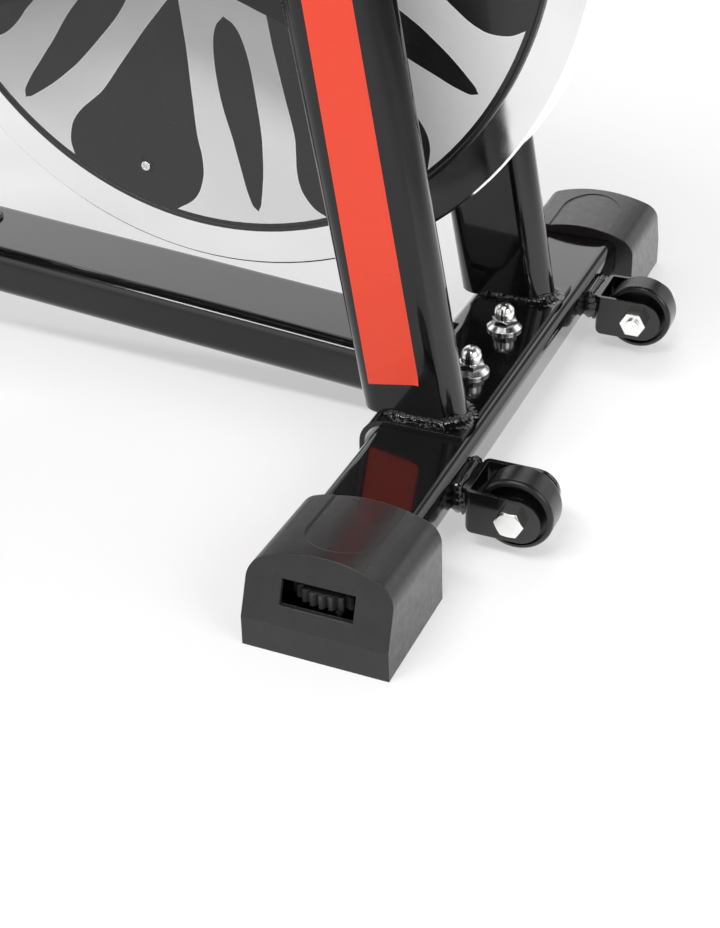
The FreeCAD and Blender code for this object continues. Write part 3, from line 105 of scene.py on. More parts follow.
def feed(tree, socket, value):
    """Links a node's input to the output given, or sets it to the number or colour given."""
    if isinstance(value, bpy.types.NodeSocket):
        tree.links.new(value, socket)
    else:
        socket.default_value = value


def add(tree, kind, **values):
    """Adds a node. Names with a leading underscore are its attributes, the others its inputs."""
    node = tree.nodes.new(kind)
    for name, value in values.items():
        if name.startswith("_"):
            setattr(node, name[1:], value)
        else:
            feed(tree, node.inputs[name.replace("__", " ")], value)
    return node


def calculate(tree, operation, *values, kind="ShaderNodeMath"):
    node = add(tree, kind, _operation=operation)
    for socket, value in zip(node.inputs, values):
        feed(tree, socket, value)
    return node.outputs["Value" if operation in ("LENGTH", "DOT_PRODUCT") else 0]


def noise_of(tree, coords, scale, detail=3.0, stretch=None):
    if stretch:
        coords = add(tree, "ShaderNodeMapping", Scale=stretch, Vector=coords).outputs["Vector"]
    return add(tree, "ShaderNodeTexNoise", Scale=scale, Detail=detail, Vector=coords).outputs["Fac"]


def ranged(tree, value, low, high, start=0.3, end=0.7):
    """Brings start to end of a value to low to high."""
    return add(tree, "ShaderNodeMapRange", Value=value, From__Min=start, From__Max=end, To__Min=low,
               To__Max=high).outputs["Result"]


def mixed(tree, factor, first, second, kind="FLOAT"):
    """Blend of two numbers, or of two colours where kind is RGBA."""
    node = add(tree, "ShaderNodeMix", _data_type=kind)
    inputs = (2, 3) if kind == "FLOAT" else (6, 7)
    for index, value in zip((0, *inputs), (factor, first, second)):
        feed(tree, node.inputs[index], value)
    return node.outputs[0 if kind == "FLOAT" else 2]


def surface(name, colour, rough, metal=0.0, vary=0.12, blotch=18.0, rough_vary=0.06, grain=900.0, relief=20,
            edge=0.6, coat=0.0, stretch=None, sheen=0.0, specular=0.5):
    """A material whose colour, gloss and relief vary a little, as real surfaces do.

    relief is the height of its grain in micrometres and edge how far it rounds edges in millimetres."""
    mat = bpy.data.materials.new(name)
    mat.use_nodes = True
    tree, shader = nodes_of(mat)
    coords = add(tree, "ShaderNodeTexCoord").outputs["Object"]
    dark = (*(c * (1 - vary) for c in colour), 1)
    light = (*(min(1.0, c * (1 + vary)) for c in colour), 1)
    tone = ranged(tree, noise_of(tree, coords, blotch, 5.0), 0.0, 1.0)
    gloss = noise_of(tree, coords, blotch * 3.1, 4.0, stretch)
    bump = add(tree, "ShaderNodeBump", Strength=1.0, Distance=relief * 1e-6,
               Height=noise_of(tree, coords, grain, 2.0, stretch))
    if edge:
        rounding = add(tree, "ShaderNodeBevel", _samples=6, Radius=edge * 0.001)
        feed(tree, bump.inputs["Normal"], rounding.outputs["Normal"])
    gloss = ranged(tree, gloss, max(0.02, rough - rough_vary), rough + rough_vary)
    for socket, value in (("Base Color", mixed(tree, tone, dark, light, "RGBA")), ("Roughness", gloss),
                          ("Normal", bump.outputs["Normal"]), ("Metallic", metal), ("Sheen Weight", sheen),
                          ("Specular IOR Level", specular), ("Coat Weight", coat), ("Coat Roughness", 0.04)):
        feed(tree, shader.inputs[socket], value)
    return mat


def add_relief(mat, height, depth):
    """Adds a second height pattern on top of the material's bump."""
    tree, shader = nodes_of(mat)
    bump = next(n for n in tree.nodes if n.type == "BUMP").outputs["Normal"]
    extra = add(tree, "ShaderNodeBump", Strength=1.0, Distance=depth, Height=height, Normal=bump)
    feed(tree, shader.inputs["Normal"], extra.outputs["Normal"])


def object_coords(mat):
    return next(n for n in mat.node_tree.nodes if n.type == "TEX_COORD").outputs["Object"]


def turned_finish(mat, centre, pitch, depth):
    """Fine rings round an axis along Y, as a lathe leaves them."""
    tree = mat.node_tree
    shift = calculate(tree, "SUBTRACT", object_coords(mat), centre, kind="ShaderNodeVectorMath")
    flat = calculate(tree, "MULTIPLY", shift, (1, 0, 1), kind="ShaderNodeVectorMath")
    radius = calculate(tree, "LENGTH", flat, kind="ShaderNodeVectorMath")
    rings = add(tree, "ShaderNodeTexNoise", _noise_dimensions="1D", Scale=1 / pitch, Detail=4.0, W=radius)
    add_relief(mat, rings.outputs["Fac"], depth)


def cell_relief(mat, scale, depth, feature="F1"):
    cells = add(mat.node_tree, "ShaderNodeTexVoronoi", _feature=feature, Scale=scale,
                Vector=object_coords(mat))
    add_relief(mat, cells.outputs["Distance"], depth)


def webbing_weave(mat, pitch, depth):
    wave = add(mat.node_tree, "ShaderNodeTexWave", _bands_direction="DIAGONAL", Scale=1 / pitch,
               Vector=object_coords(mat))
    add_relief(mat, wave.outputs["Fac"], depth)


BLACK = (0.0055, 0.0055, 0.006)
M = {
    "coat": surface("powder_coat", BLACK, 0.12, vary=0.25, grain=420.0, relief=12, coat=0.45, edge=1,
                    rough_vary=0.04, specular=0.25),
    "weld": surface("weld_coat", (0.0035, 0.0035, 0.0038), 0.08, grain=700.0, relief=80, coat=0.4, edge=0,
                    specular=0.3, rough_vary=0.03),
    "zinc": surface("bright_zinc", (0.74, 0.74, 0.73), 0.2, metal=1.0, vary=0.1, grain=1500.0,
                    rough_vary=0.09, edge=0.4),
    "steel": surface("ground_steel", (0.55, 0.55, 0.56), 0.3, metal=1.0, edge=0.4, stretch=(1, 8, 1)),
    "chrome": surface("chrome", (0.62, 0.62, 0.635), 0.07, metal=1.0, vary=0.03, grain=300.0, relief=4,
                      rough_vary=0.03, edge=0.8),
    "rim": surface("polished_rim", (0.86, 0.86, 0.87), 0.1, metal=1.0, vary=0.03, grain=60.0, relief=4,
                   rough_vary=0.04, edge=0.8),
    "web": surface("painted_web", (0.02, 0.02, 0.021), 0.4),
    "cover": surface("cover_disc", (0.013, 0.013, 0.0135), 0.3, vary=0.15, grain=1400.0, relief=10,
                     coat=0.25),
    "panel": surface("spoke_print", (0.88, 0.88, 0.88), 0.3, vary=0.015, relief=10, edge=0,
                     rough_vary=0.01),
    "panel_edge": surface("spoke_line", (0.93, 0.93, 0.93), 0.35, vary=0.02, edge=0),
    "cap": surface("cap_plastic", (0.0135, 0.0138, 0.0145), 0.33, vary=0.2, blotch=60.0, grain=1300.0,
                   relief=60, edge=1.2, sheen=0.08),
    "level": surface("level_plastic", (0.045, 0.045, 0.046), 0.42, grain=1800.0, relief=40),
    "castor": surface("castor_plastic", (0.0045, 0.0045, 0.005), 0.3, vary=0.2, grain=1500.0, relief=40,
                      rough_vary=0.08, specular=0.38),
    "moulded": surface("moulded_plastic", (0.02, 0.02, 0.021), 0.45, vary=0.15, grain=2400.0, relief=60),
    "guard": surface("guard_plastic", (0.014, 0.014, 0.015), 0.27, vary=0.15, grain=2200.0, relief=30,
                     edge=1.5),
    "rubber": surface("rubber", (0.018, 0.018, 0.018), 0.62, vary=0.2, grain=1500.0, relief=60),
    "grip": surface("grip_rubber", (0.02, 0.02, 0.02), 0.66, vary=0.2, grain=1800.0, relief=100, edge=0),
    "alloy": surface("alloy", (0.66, 0.66, 0.67), 0.3, metal=1.0, grain=1100.0, vary=0.06),
    "felt": surface("wool_felt", (0.3, 0.26, 0.2), 0.95, vary=0.35, blotch=160.0, grain=2200.0, relief=500,
                    sheen=0.4, specular=0.2, edge=0),
    "leather": surface("leatherette", (0.018, 0.018, 0.019), 0.46, vary=0.22, blotch=30.0, grain=1200.0,
                       relief=30, edge=0, rough_vary=0.09),
    "side_cloth": surface("side_panel", (0.03, 0.03, 0.031), 0.6, vary=0.2, grain=1500.0, relief=50, edge=0),
    "thread": surface("thread", (0.42, 0.42, 0.43), 0.7, vary=0.15, grain=3000.0, relief=100, sheen=0.3,
                      edge=0),
    "stripe": surface("stripe_film", (1.0, 0.067, 0.023), 0.33, vary=0.03, grain=500.0, relief=8, edge=0,
                      coat=0.2),
    "webbing": surface("nylon_webbing", (0.02, 0.02, 0.021), 0.75, vary=0.2, grain=1600.0, relief=100,
                       sheen=0.3, edge=0),
    "glass": surface("display_glass", (0.02, 0.022, 0.022), 0.06, vary=0.1, grain=200.0, relief=2, coat=1.0,
                     edge=0),
    "lcd": surface("display_panel", (0.28, 0.33, 0.27), 0.3, vary=0.05, coat=1.0, edge=0),
    "ink": surface("scale_ink", (0.6, 0.6, 0.6), 0.5, vary=0.05, edge=0),
    "reflector": surface("reflector", (0.75, 0.22, 0.02), 0.15, vary=0.1, coat=1.0, grain=500.0, edge=0),
}
turned_finish(M["rim"], at((WHEEL[0], 0, WHEEL[1])), 0.0007, 0.000008)
cell_relief(M["leather"], 950.0, 0.00014, "SMOOTH_F1")
cell_relief(M["cap"], 1500.0, 0.00003)
cell_relief(M["side_cloth"], 700.0, 0.0001)
cell_relief(M["reflector"], 420.0, 0.0004)
webbing_weave(M["webbing"], 0.006, 0.00015)


# Mesh building

def placed(name, data):
    """An object with this data, in the scene."""
    piece = bpy.data.objects.new(name, data)
    bpy.context.scene.collection.objects.link(piece)
    return piece


class Shape:
    """Collects faces, then becomes one piece that rides on a body."""

    def __init__(self):
        self.verts, self.faces, self.slots = [], [], []

    def face(self, points):
        start = len(self.verts)
        self.verts += [at(p) for p in points]
        self.faces.append(tuple(range(start, start + len(points))))
        self.slots.append(0)

    def rings(self, rings, wrap=True, loop=False, caps=True, slot=0):
        """Joins rings of points into a skin. wrap closes each ring and loop joins the last to the first."""
        start, size, count = len(self.verts), len(rings[0]), len(rings)
        self.verts += [at(p) for ring in rings for p in ring]
        for i in range(count if loop else count - 1):
            a, b = start + i * size, start + (i + 1) % count * size
            for j in range(size if wrap else size - 1):
                k = (j + 1) % size
                self.faces.append((a + j, a + k, b + k, b + j))
                self.slots.append(slot)
        if caps and wrap and not loop:
            self.faces.append(tuple(start + j for j in reversed(range(size))))
            self.faces.append(tuple(start + (count - 1) * size + j for j in range(size)))
            self.slots += [slot, slot]

    def done(self, name, body, materials, slot="black_coat", angle=40, outward=True):
        mesh = bpy.data.meshes.new(name)
        mesh.from_pydata(self.verts, [], self.faces)
        for polygon, index in zip(mesh.polygons, self.slots):
            polygon.material_index = index
        for mat in materials:
            mesh.materials.append(M[mat])
        if outward:
            work = bmesh.new()
            work.from_mesh(mesh)
            bmesh.ops.recalc_face_normals(work, faces=work.faces)
            work.to_mesh(mesh)
            work.free()
        smooth(mesh, angle)
        piece = placed(name, mesh)
        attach(piece, body)
        return piece


def smooth(mesh, angle):
    mesh.shade_smooth()
    mesh.set_sharp_from_angle(angle=math.radians(angle))


def circle(centre, u, v, radius, count=24):
    return [centre + (u * math.cos(t) + v * math.sin(t)) * radius
            for t in (2 * math.pi * i / count for i in range(count))]


def sideways(axis):
    """Two unit vectors square to axis."""
    helper = Z if abs(axis.z) < 0.9 else X
    u = axis.cross(helper).normalized()
    return u, axis.cross(u).normalized()


def lathe(shape, start, axis, profile, count=32, slot=0, caps=True):
    """Turned form: profile lists (radius, height) along axis."""
    u, v = sideways(axis)
    shape.rings([circle(start + axis * height, u, v, max(radius, 0.01), count) for radius, height in profile],
                caps=caps, slot=slot)


def rounded_loop(width, height, radius, step=6):
    """Points (p, q) round a rounded rectangle, counter-clockwise, centred on zero."""
    a, b = width / 2, height / 2
    radius = min(radius, a - 0.05, b - 0.05)
    points = []
    for p, q, start in ((a, b, 0), (-a, b, 90), (-a, -b, 180), (a, -b, 270)):
        centre = (p - math.copysign(radius, p), q - math.copysign(radius, q))
        for i in range(step + 1):
            t = math.radians(start + 90 * i / step)
            points.append((centre[0] + radius * math.cos(t), centre[1] + radius * math.sin(t)))
    return points


def along_table(table, t):
    """Smooth curve through a table of (t, value)."""
    last = len(table) - 1
    t = min(max(t, table[0][0]), table[last][0])
    row = max(k for k in range(last) if table[k][0] <= t)
    before, start, end, after = (table[min(max(row + k, 0), last)] for k in (-1, 0, 1, 2))
    gap = end[0] - start[0]
    s = (t - start[0]) / gap
    lead = gap * (end[1] - before[1]) / (end[0] - before[0])
    trail = gap * (after[1] - start[1]) / (after[0] - start[0])
    stay = start[1] + (end[1] - start[1]) * (3 - 2 * s) * s * s
    return stay + lead * s * (1 - s) ** 2 - trail * s * s * (1 - s)


def evenly(points, closed, spacing):
    """Resamples a polyline at even steps and gives (point, distance along it)."""
    path = list(points) + ([points[0]] if closed else [])
    lengths = [0.0]
    for a, b in zip(path, path[1:]):
        lengths.append(lengths[-1] + (b - a).length)
    total = lengths[-1]
    count = max(8, round(total / spacing))
    samples, j = [], 0
    for i in range(count if closed else count + 1):
        distance = total * i / count
        while j < len(path) - 2 and lengths[j + 1] < distance:
            j += 1
        span = max(lengths[j + 1] - lengths[j], 1e-9)
        samples.append((path[j].lerp(path[j + 1], (distance - lengths[j]) / span), distance))
    return samples


def weld(shape, points, closed, radius, up, seed, pitch=2.6, rough=0.22, flat=0.8):
    """Rippled bead along points. up is square to the path."""
    samples = evenly(points, closed, pitch / 5)
    count = len(samples)
    rings = []
    for i, (centre, distance) in enumerate(samples):
        ahead = samples[(i + 1) % count][0] if closed or i + 1 < count else centre
        behind = samples[i - 1][0] if closed or i else centre
        along = (ahead - behind).normalized()
        side = along.cross(up).normalized()
        lump = noise.noise(Vector((distance / 9.0, seed * 7.3, 0)))
        size = radius * (1 + rough * lump + 0.09 * math.cos(2 * math.pi * distance / pitch))
        if not closed:
            size *= min(1.0, 0.35 + 0.9 * math.sqrt(max(0.0, min(i, count - 1 - i) / 6)))
        wander = side * (radius * 0.25 * noise.noise(Vector((distance / 14.0, 3.1, seed))))
        ring = []
        for k in range(10):
            t = 2 * math.pi * k / 10
            lag = along * (-0.32 * pitch * (1 - math.sin(t)))
            ring.append(centre + wander + (side * math.cos(t) + up * (math.sin(t) * flat)) * size + lag)
        rings.append(ring)
    shape.rings(rings, loop=closed)


# Looks of the CAD nodes

LOOKS = {
    "coat": ["front_stabiliser", "rear_stabiliser", "stabiliser_plates", "base_beam", "fork_legs",
             "fork_crown", "head_tube", "main_tube", "seat_tube", "crank_shell", "dropout_plates",
             "wheel_brackets", "handlebar"],
    "zinc": ["plate_fasteners", "wheel_bolts", "flywheel_screws"] + ["level_foot_" + c for c in CORNERS],
    "steel": ["flywheel_axle", "flywheel_bearings", "crank_axle", "saddle_frame", "brake_sleeve",
              "brake_rod"],
    "alloy": ["flywheel_pulley", "crank_pulley"],
    "chrome": ["crank_arm_left", "crank_arm_right", "seat_post", "seat_slider", "handlebar_post"],
    "rim": ["flywheel"],
    "cover": ["flywheel_covers"],
    "guard": ["guard_outer", "guard_inner"],
    "rubber": ["drive_belt"],
    "moulded": ["post_bushes", "pedal_left", "pedal_right", "saddle_base", "console", "brake_knob",
                "seat_height_knob", "seat_slide_knob", "handlebar_knob"],
    "leather": ["saddle_pad"],
    "grip": ["handlebar_grips"],
    "felt": ["brake_pad"],
    "castor": ["transport_wheel_left", "transport_wheel_right"],
    "cap": ["end_cap_" + c for c in CORNERS],
    "level": ["level_wheel_" + c for c in CORNERS],
}


def dress():
    for look, names in LOOKS.items():
        for name in names:
            mesh = nodes[name].data
            mesh.materials.clear()
            mesh.materials.append(M[look])
            for polygon in mesh.polygons:
                polygon.material_index = 0
            smooth(mesh, 32)


def repaint(name, look, chosen):
    """Gives the faces whose middle passes chosen(x, z), in CAD millimetres, another material."""
    mesh = nodes[name].data
    mesh.materials.append(M[look])
    index = len(mesh.materials) - 1
    for polygon in mesh.polygons:
        c = polygon.center
        if chosen(c.x * 1000 - ORIGIN_X, c.z * 1000):
            polygon.material_index = index


RIM_INSIDE = 232
FOOT_PAD_TOP = 6.2
dress()
repaint("flywheel", "web", lambda x, z: math.hypot(x - WHEEL[0], z - WHEEL[1]) < RIM_INSIDE)
for corner in CORNERS:
    repaint("level_foot_" + corner, "rubber", lambda x, z: z < FOOT_PAD_TOP)
repaint("seat_slider", "moulded", lambda x, z: abs(x - SLIDER_MIDDLE.x) > SLIDER_HALF_LENGTH - 0.1)


# Weld beads

def leg_outline(grow=0.0):
    return rounded_loop(LEG_DEPTH + 2 * grow, LEG_WIDTH + 2 * grow, LEG_WIDTH / 2 + grow, 10)


def fillet(shape, path, rise, spread, seed, heavy):
    """Lumpy weld between an upright wall and a flat plate.

    path lists (foot of the wall, outward normal). heavy marks a spot with a bigger blob."""
    feet = [foot for foot, _ in path]
    samples = evenly(feet, False, 0.7)
    rings = []
    for i, (foot, distance) in enumerate(samples):
        near = min(range(len(path)), key=lambda k: (path[k][0] - foot).length)
        out = path[near][1]
        ends = min(1.0, 0.25 + min(i, len(samples) - 1 - i) / 9)
        blob = 1.0 + 0.75 * math.exp(-((foot - heavy).length / 9.0) ** 2)
        wave = noise.noise(Vector((distance / 11.0, seed * 3.7, 0)))
        high, wide = rise * ends * blob * (1 + 0.35 * wave), spread * ends * blob * (1 - 0.3 * wave)
        ring = [foot - out * 1.2 + Z * high * 0.9]
        for k in range(9):
            t = math.pi / 2 * k / 8
            bulge = 1 - 0.16 * math.sin(2 * t)
            spot = foot + out * (wide * bulge * (1 - math.cos(t))) + Z * (high * bulge * (1 - math.sin(t)))
            fine = noise.noise(Vector((distance / 2.1, k / 1.8, seed * 9.1)))
            finer = noise.noise(Vector((distance, k / 1.1, seed * 5.3)))
            lump = ends * (0.8 * fine + 0.5 * finer + 0.35) * math.sin(math.pi * (k + 1) / 10)
            ring.append(spot + (out + Z).normalized() * lump)
        ring.append(foot + out * (wide * 0.9) - Z * 0.6)
        ring.append(foot - out * 1.2 - Z * 0.6)
        rings.append(ring)
    shape.rings(rings)


def foot_path(side, last_x):
    """Round a leg's foot on the plate, from one side face past the front to the other."""
    ring = leg_outline()
    path = []
    for i, (a, b) in enumerate(ring):
        before, after = ring[i - 1], ring[(i + 1) % len(ring)]
        out = Vector((after[1] - before[1], before[0] - after[0], 0)).normalized()
        spot = Vector((FORK_FOOT.x + a / math.cos(LEAN), side * LEG_Y + b, PLATE_TOP))
        path.append((spot, out))
    ends = [(Vector((last_x, side * LEG_Y + way * LEG_WIDTH / 2, PLATE_TOP)), Y * way) for way in (-1, 1)]
    front = [p for p in path if p[0].x > FORK_FOOT.x]
    front.sort(key=lambda p: math.atan2(p[0].y - side * LEG_Y, p[0].x - FORK_FOOT.x))
    return [ends[0]] + front + [ends[1]]


def fork_welds():
    shape = Shape()
    for side in SIDES.values():
        heavy = Vector((16.0, side * LEG_Y - 12.0, PLATE_TOP))
        fillet(shape, foot_path(side, -34.0), 3.6, 6.0, 3 + side, heavy)
        seam = [on_fork(a, side * LEG_Y + b, LEG_LENGTH) for a, b in leg_outline(0.2)]
        weld(shape, seam, True, 2.0, FORK_UP, 11 + side)
        for face in (LEG_Y - 4.6, LEG_Y + 4.6):
            seam = [on_fork(-33.6, side * face, up) for up in range(256, 420, 4)]
            weld(shape, seam, False, 2.4, Y * side, 21 + side + face)
    shape.done("fork_welds", "frame", ["weld"])


def tube_welds():
    """Beads where the head, main and seat tubes meet, and round the crank shell."""
    shape = Shape()
    outline = rounded_loop(61, 41, 12)
    neck = [on_fork(a, b, CROWN_TOP + 0.3) for a, b in outline]
    weld(shape, neck, True, 2.6, FORK_UP, 31)
    start = on_fork(-35, 0, CROWN_TOP - 30)
    seam = []
    for h, y in outline:
        p = start + MAIN_UP * h + Y * y
        run = (start - p).dot(FORK_AHEAD) / MAIN_BACK.dot(FORK_AHEAD)
        q = p + MAIN_BACK * run
        if (q - FORK_FOOT).dot(FORK_UP) < CROWN_TOP - 9:
            seam.append(q)
    turn = max(range(len(seam)), key=lambda i: (seam[i] - seam[i - 1]).length)
    weld(shape, seam[turn:] + seam[:turn], False, 2.6, MAIN_BACK, 41)
    face = CRANK_CENTRE - SEAT_BACK * 30
    seam = []
    for h, y in outline:
        p = start + MAIN_UP * h + Y * y
        run = (face - p).dot(SEAT_BACK) / MAIN_BACK.dot(SEAT_BACK)
        seam.append(p + MAIN_BACK * (run - 0.2))
    weld(shape, seam, True, 2.6, -SEAT_BACK, 51)
    seam = []
    for a, y in outline:
        p = CRANK_CENTRE - SEAT_BACK * a + Y * y
        for _ in range(4):
            top = BEAM_CREST - abs(p.x + BEAM_BACK) * math.tan(BEAM_SLOPE)
            p = p - SEAT_UP * ((p.z - top) / SEAT_UP.z)
        seam.append(p + Z * 0.5)
    weld(shape, seam, True, 2.8, Z, 61)
    for side in SIDES.values():
        ring = circle(CRANK_CENTRE + Y * (side * 20.6), X, Z, 24.0, 48)
        weld(shape, ring, True, 2.3, Y * side, 71 + side)
    shape.done("frame_welds", "frame", ["weld"])


def bracket_welds():
    shape = Shape()
    for side in SIDES.values():
        middle = CASTOR_Y * side + BRACKET_SHIFT
        for way in (-1, 1):
            seam = [Vector((35.2, middle + way * 16.5, z)) for z in range(28, 49, 4)]
            weld(shape, seam, False, 4.8, Y * way, 81 + side, pitch=5.0, rough=0.9, flat=0.5)
            seam = [Vector((39.0, middle + way * 16.5, z)) for z in range(27, 45, 4)]
            weld(shape, seam, False, 2.8, Y * way, 85 + side, pitch=4.0, rough=0.9, flat=0.6)
        seam = [Vector((36.5, middle + q, 46.0)) for q in range(-17, 18, 4)]
        weld(shape, seam, False, 1.8, Z, 91 + side, pitch=3.0, rough=0.7, flat=0.7)
    shape.done("bracket_welds", "frame", ["weld"])


# Stripes on the fork legs

def leg_skin(side, q, up, lift):
    """Point on a leg's outer face, q millimetres round from the face's middle, ahead positive."""
    flat, bend = LEG_DEPTH / 2 - LEG_WIDTH / 2, LEG_WIDTH / 2
    if abs(q) <= flat:
        return on_fork(q, side * (LEG_Y + bend + lift), up)
    turn = (abs(q) - flat) / bend
    ahead = math.copysign(flat + (bend + lift) * math.sin(turn), q)
    return on_fork(ahead, side * (LEG_Y + (bend + lift) * math.cos(turn)), up)


STRIPE_LOW, STRIPE_HIGH, STRIPE_SLANT = 25.0, 520.0, 34.0


def stripe_edges(up):
    """Rear and front edges of the stripe, measured round the leg from its outer face's middle."""
    share = min(1.0, (up - STRIPE_LOW) / 300.0)
    return -23.75 + 8.6 * share, 12.6 + 3.8 * share


def stripes():
    for name, side in SIDES.items():
        shape = Shape()
        columns, rows, rings = 18, 66, []
        for i in range(rows + 1):
            ring = []
            for j in range(columns + 1):
                share, t = j / columns, i / rows
                top = STRIPE_HIGH - (1 - share) * STRIPE_SLANT
                up = STRIPE_LOW + (top - STRIPE_LOW) * t ** 1.3
                rear, front = stripe_edges(up)
                q = rear + (front - rear) * share
                curl = max(0.0, 1 - math.hypot((front - q) / 5.0, (up - STRIPE_LOW) / 6.0))
                ring.append(leg_skin(side, q, up, 0.2 + 1.3 * curl ** 1.5))
            rings.append(ring)
        shape.rings(rings, wrap=False)
        shape.done("stripe_" + name, "frame", ["stripe"], outward=False)


# Printed spokes on the flywheel's covers

SPOKE_ROOT = [(60, 25.7), (70, 25.7), (78, 23.6), (90, 20.6), (110, 17.2), (140, 14.5)]
OUTER_EDGE = {
    -1: SPOKE_ROOT + [(170, 12.65), (182, 11.6), (194, 11.2), (201, 11.4), (211, 12.2), (219, 13.6),
                      (226, 15.8), (229, 16.8)],
    1: SPOKE_ROOT + [(170, 12.8), (182, 11.5), (192, 10.5), (202, 10.05), (210, 10.25), (221, 11.4),
                     (227, 12.8), (229, 13.4)],
}
TEAR_ROOT = [(60, 0), (84, 0.0), (87, 3.0), (92, 5.0), (100, 6.2), (115, 6.5), (140, 5.5)]
TEAR_EDGE = {
    -1: TEAR_ROOT + [(166, 3.5), (178, 2.9), (190, 2.35), (202, 1.9), (211, 1.4), (217, 0.9), (219.6, 0.1),
                     (230, 0)],
    1: TEAR_ROOT + [(166, 4.4), (178, 3.6), (190, 2.8), (202, 1.85), (211, 1.1), (217, 0.6), (219.6, 0.1),
                    (230, 0)],
}
PANEL_ROOT, PANEL_RIM = 52.0, 228.5
LINE_ROOT = 72                          # the white lines start here
SPOKES, FIRST_SPOKE, FIRST_BOLT = 7, -82.45, -106.5
SPOKE_PITCH = 360 / SPOKES
HALF_SPOKE = 25.714                     # just under half the pitch


def softened(table, radius):
    """A table's curve with its corners eased."""
    near = ((-2, 1), (-1, 2), (0, 3), (1, 2), (2, 1))
    return sum(max(0.0, along_table(table, radius + d)) * weight for d, weight in near) / 9


def on_cover(radius, angle, y):
    t = math.radians(angle)
    return Vector((WHEEL[0] + radius * math.cos(t), y, WHEEL[1] + radius * math.sin(t)))


COVER_RING = [(231.2, 0), (231.2, 1.2), (231.8, 1.7), (233.2, 1.9), (234.4, 1.3), (234.8, 0), (234.6, -1.4),
              (231.2, -1.4), (231.2, 0)]
HUB_RING = [(37.2, -0.5), (37.2, 1.4), (38.2, 2.0), (50.5, 2.0), (52.2, 1.2), (52.6, 0), (52.6, -0.5),
            (37.2, -0.5)]
BOLT_RING = [(3.7, -0.3), (3.7, 0.25), (4.4, 0.5), (5.6, 0.45), (6.2, 0.05), (6.2, -0.3), (3.7, -0.3)]


def spoke_print():
    radii = [PANEL_ROOT + (PANEL_RIM - PANEL_ROOT) * i / 100 for i in range(101)]
    for name, side in SIDES.items():
        shape = Shape()
        face = side * (COVER_Y + 0.05)
        over = face * 1.0008
        for i in range(SPOKES):
            middle = FIRST_SPOKE + SPOKE_PITCH * i
            for way in (-1, 1):
                fill, white = [], []
                tear = [math.sqrt(max(0.0, softened(TEAR_EDGE[way], r) ** 2 - 0.12)) for r in radii]
                for r, inner in zip(radii, tear):
                    outer = min(HALF_SPOKE, softened(OUTER_EDGE[way], r))
                    fill.append([on_cover(r, middle + way * (inner + (outer - inner) * k / 6), face)
                                 for k in range(7)])
                    if r >= LINE_ROOT:
                        edge = middle + way * outer
                        line = way * math.degrees(1.1 / r)
                        white.append([on_cover(r, edge - line, over), on_cover(r, edge, over)])
                shape.rings(fill, wrap=False)
                shape.rings(white, wrap=False, slot=1)
                rows = [k for k in range(1, len(radii) - 1) if max(tear[k - 1:k + 2]) > 0]
                shape.rings([[on_cover(radii[k], middle + way * (tear[k] + width), over)
                              for width in (0.0, math.degrees(1.0 / radii[k]))] for k in rows],
                            wrap=False, slot=1)
        shape.done("spoke_print_" + name, "flywheel_group", ["panel", "panel_edge"],
                   slot="cover_black", outward=False)
        shape = Shape()
        out = Y * side
        lathe(shape, on_cover(0, 0, side * (COVER_Y - 1.0)), out, COVER_RING, count=160, caps=False)
        lathe(shape, on_cover(0, 0, side * COVER_Y), out, HUB_RING, count=96, caps=False)
        for i in range(SPOKES):
            spot = on_cover(205.0, FIRST_BOLT + SPOKE_PITCH * i, side * COVER_Y)
            lathe(shape, spot, out, BOLT_RING, count=28, caps=False)
        shape.done("cover_trim_" + name, "flywheel_group", ["cover"], slot="cover_black")


# Belt guard trim

GUARD_WASHER = [(7.5, -0.5), (7.5, 0.5), (6.6, 1.1), (5.2, 1.1), (4.7, 0.2), (4.7, -0.5)]
GUARD_SCREW = [(4.4, -0.4), (4.4, 0.9), (3.9, 1.5), (1.8, 1.7), (1.5, 0.6), (0.3, 0.5)]
GUARD_BOSS = [(11.6, -1.0), (11.6, 2.2), (13.0, 3.0), (27.0, 3.0), (31.0, 2.0), (33.0, 0.6), (33.4, 0),
              (33.4, -1.0), (11.6, -1.0)]
GUARD_RIB = [(70.0, -0.6), (70.2, 0.5), (71.4, 1.1), (74.6, 1.1), (75.8, 0.5), (76.0, -0.6), (70.0, -0.6)]


def guard_trim():
    shape = Shape()
    heading = Vector((WHEEL[0] - CRANK[0], 0, WHEEL[1] - CRANK[1])).normalized()
    across = Vector((-heading.z, 0, heading.x))
    face = -68.5
    for ahead, up in ((-96, -30), (-96, 30), (60, -84), (60, 84), (250, -40), (250, 40), (358, 0)):
        spot = CRANK_CENTRE + heading * ahead + across * up
        base = Vector((spot.x, face, spot.z))
        lathe(shape, base, -Y, GUARD_WASHER, count=28, caps=False)
        lathe(shape, base, -Y, GUARD_SCREW, count=24, slot=1)
    boss = Vector((CRANK[0], face, CRANK[1]))
    lathe(shape, boss, -Y, GUARD_BOSS, count=64, caps=False)
    lathe(shape, boss, -Y, GUARD_RIB, count=96, caps=False)
    shape.done("guard_trim", "frame", ["guard", "zinc"], slot="guard_black")


# Scales on the posts

def post_scales():
    seat_tube_end = CRANK_CENTRE + SEAT_UP * SEAT_TUBE_TOP
    plans = (("seat_scale", "seat_mast", seat_tube_end, SEAT_UP, SEAT_BACK, (12, 132)),
             ("handlebar_scale", "handlebar_group", on_fork(0, 0, HEAD_TOP), FORK_UP, -FORK_AHEAD, (12, 170)))
    for name, body, base, up, face, (low, high) in plans:
        shape = Shape()
        spot = low
        while spot <= high:
            half = 7.0 if (spot - low) % 20 < 1 else 4.0
            centre = base + up * spot + face * (POST_HALF + 0.04)
            corners = (-1, -1), (1, -1), (1, 1), (-1, 1)
            shape.face([centre + Y * (p * half) + up * (q * 0.45) for p, q in corners])
            spot += 10.0
        shape.done(name, body, ["ink"], slot="post_chrome", outward=False)


# Saddle

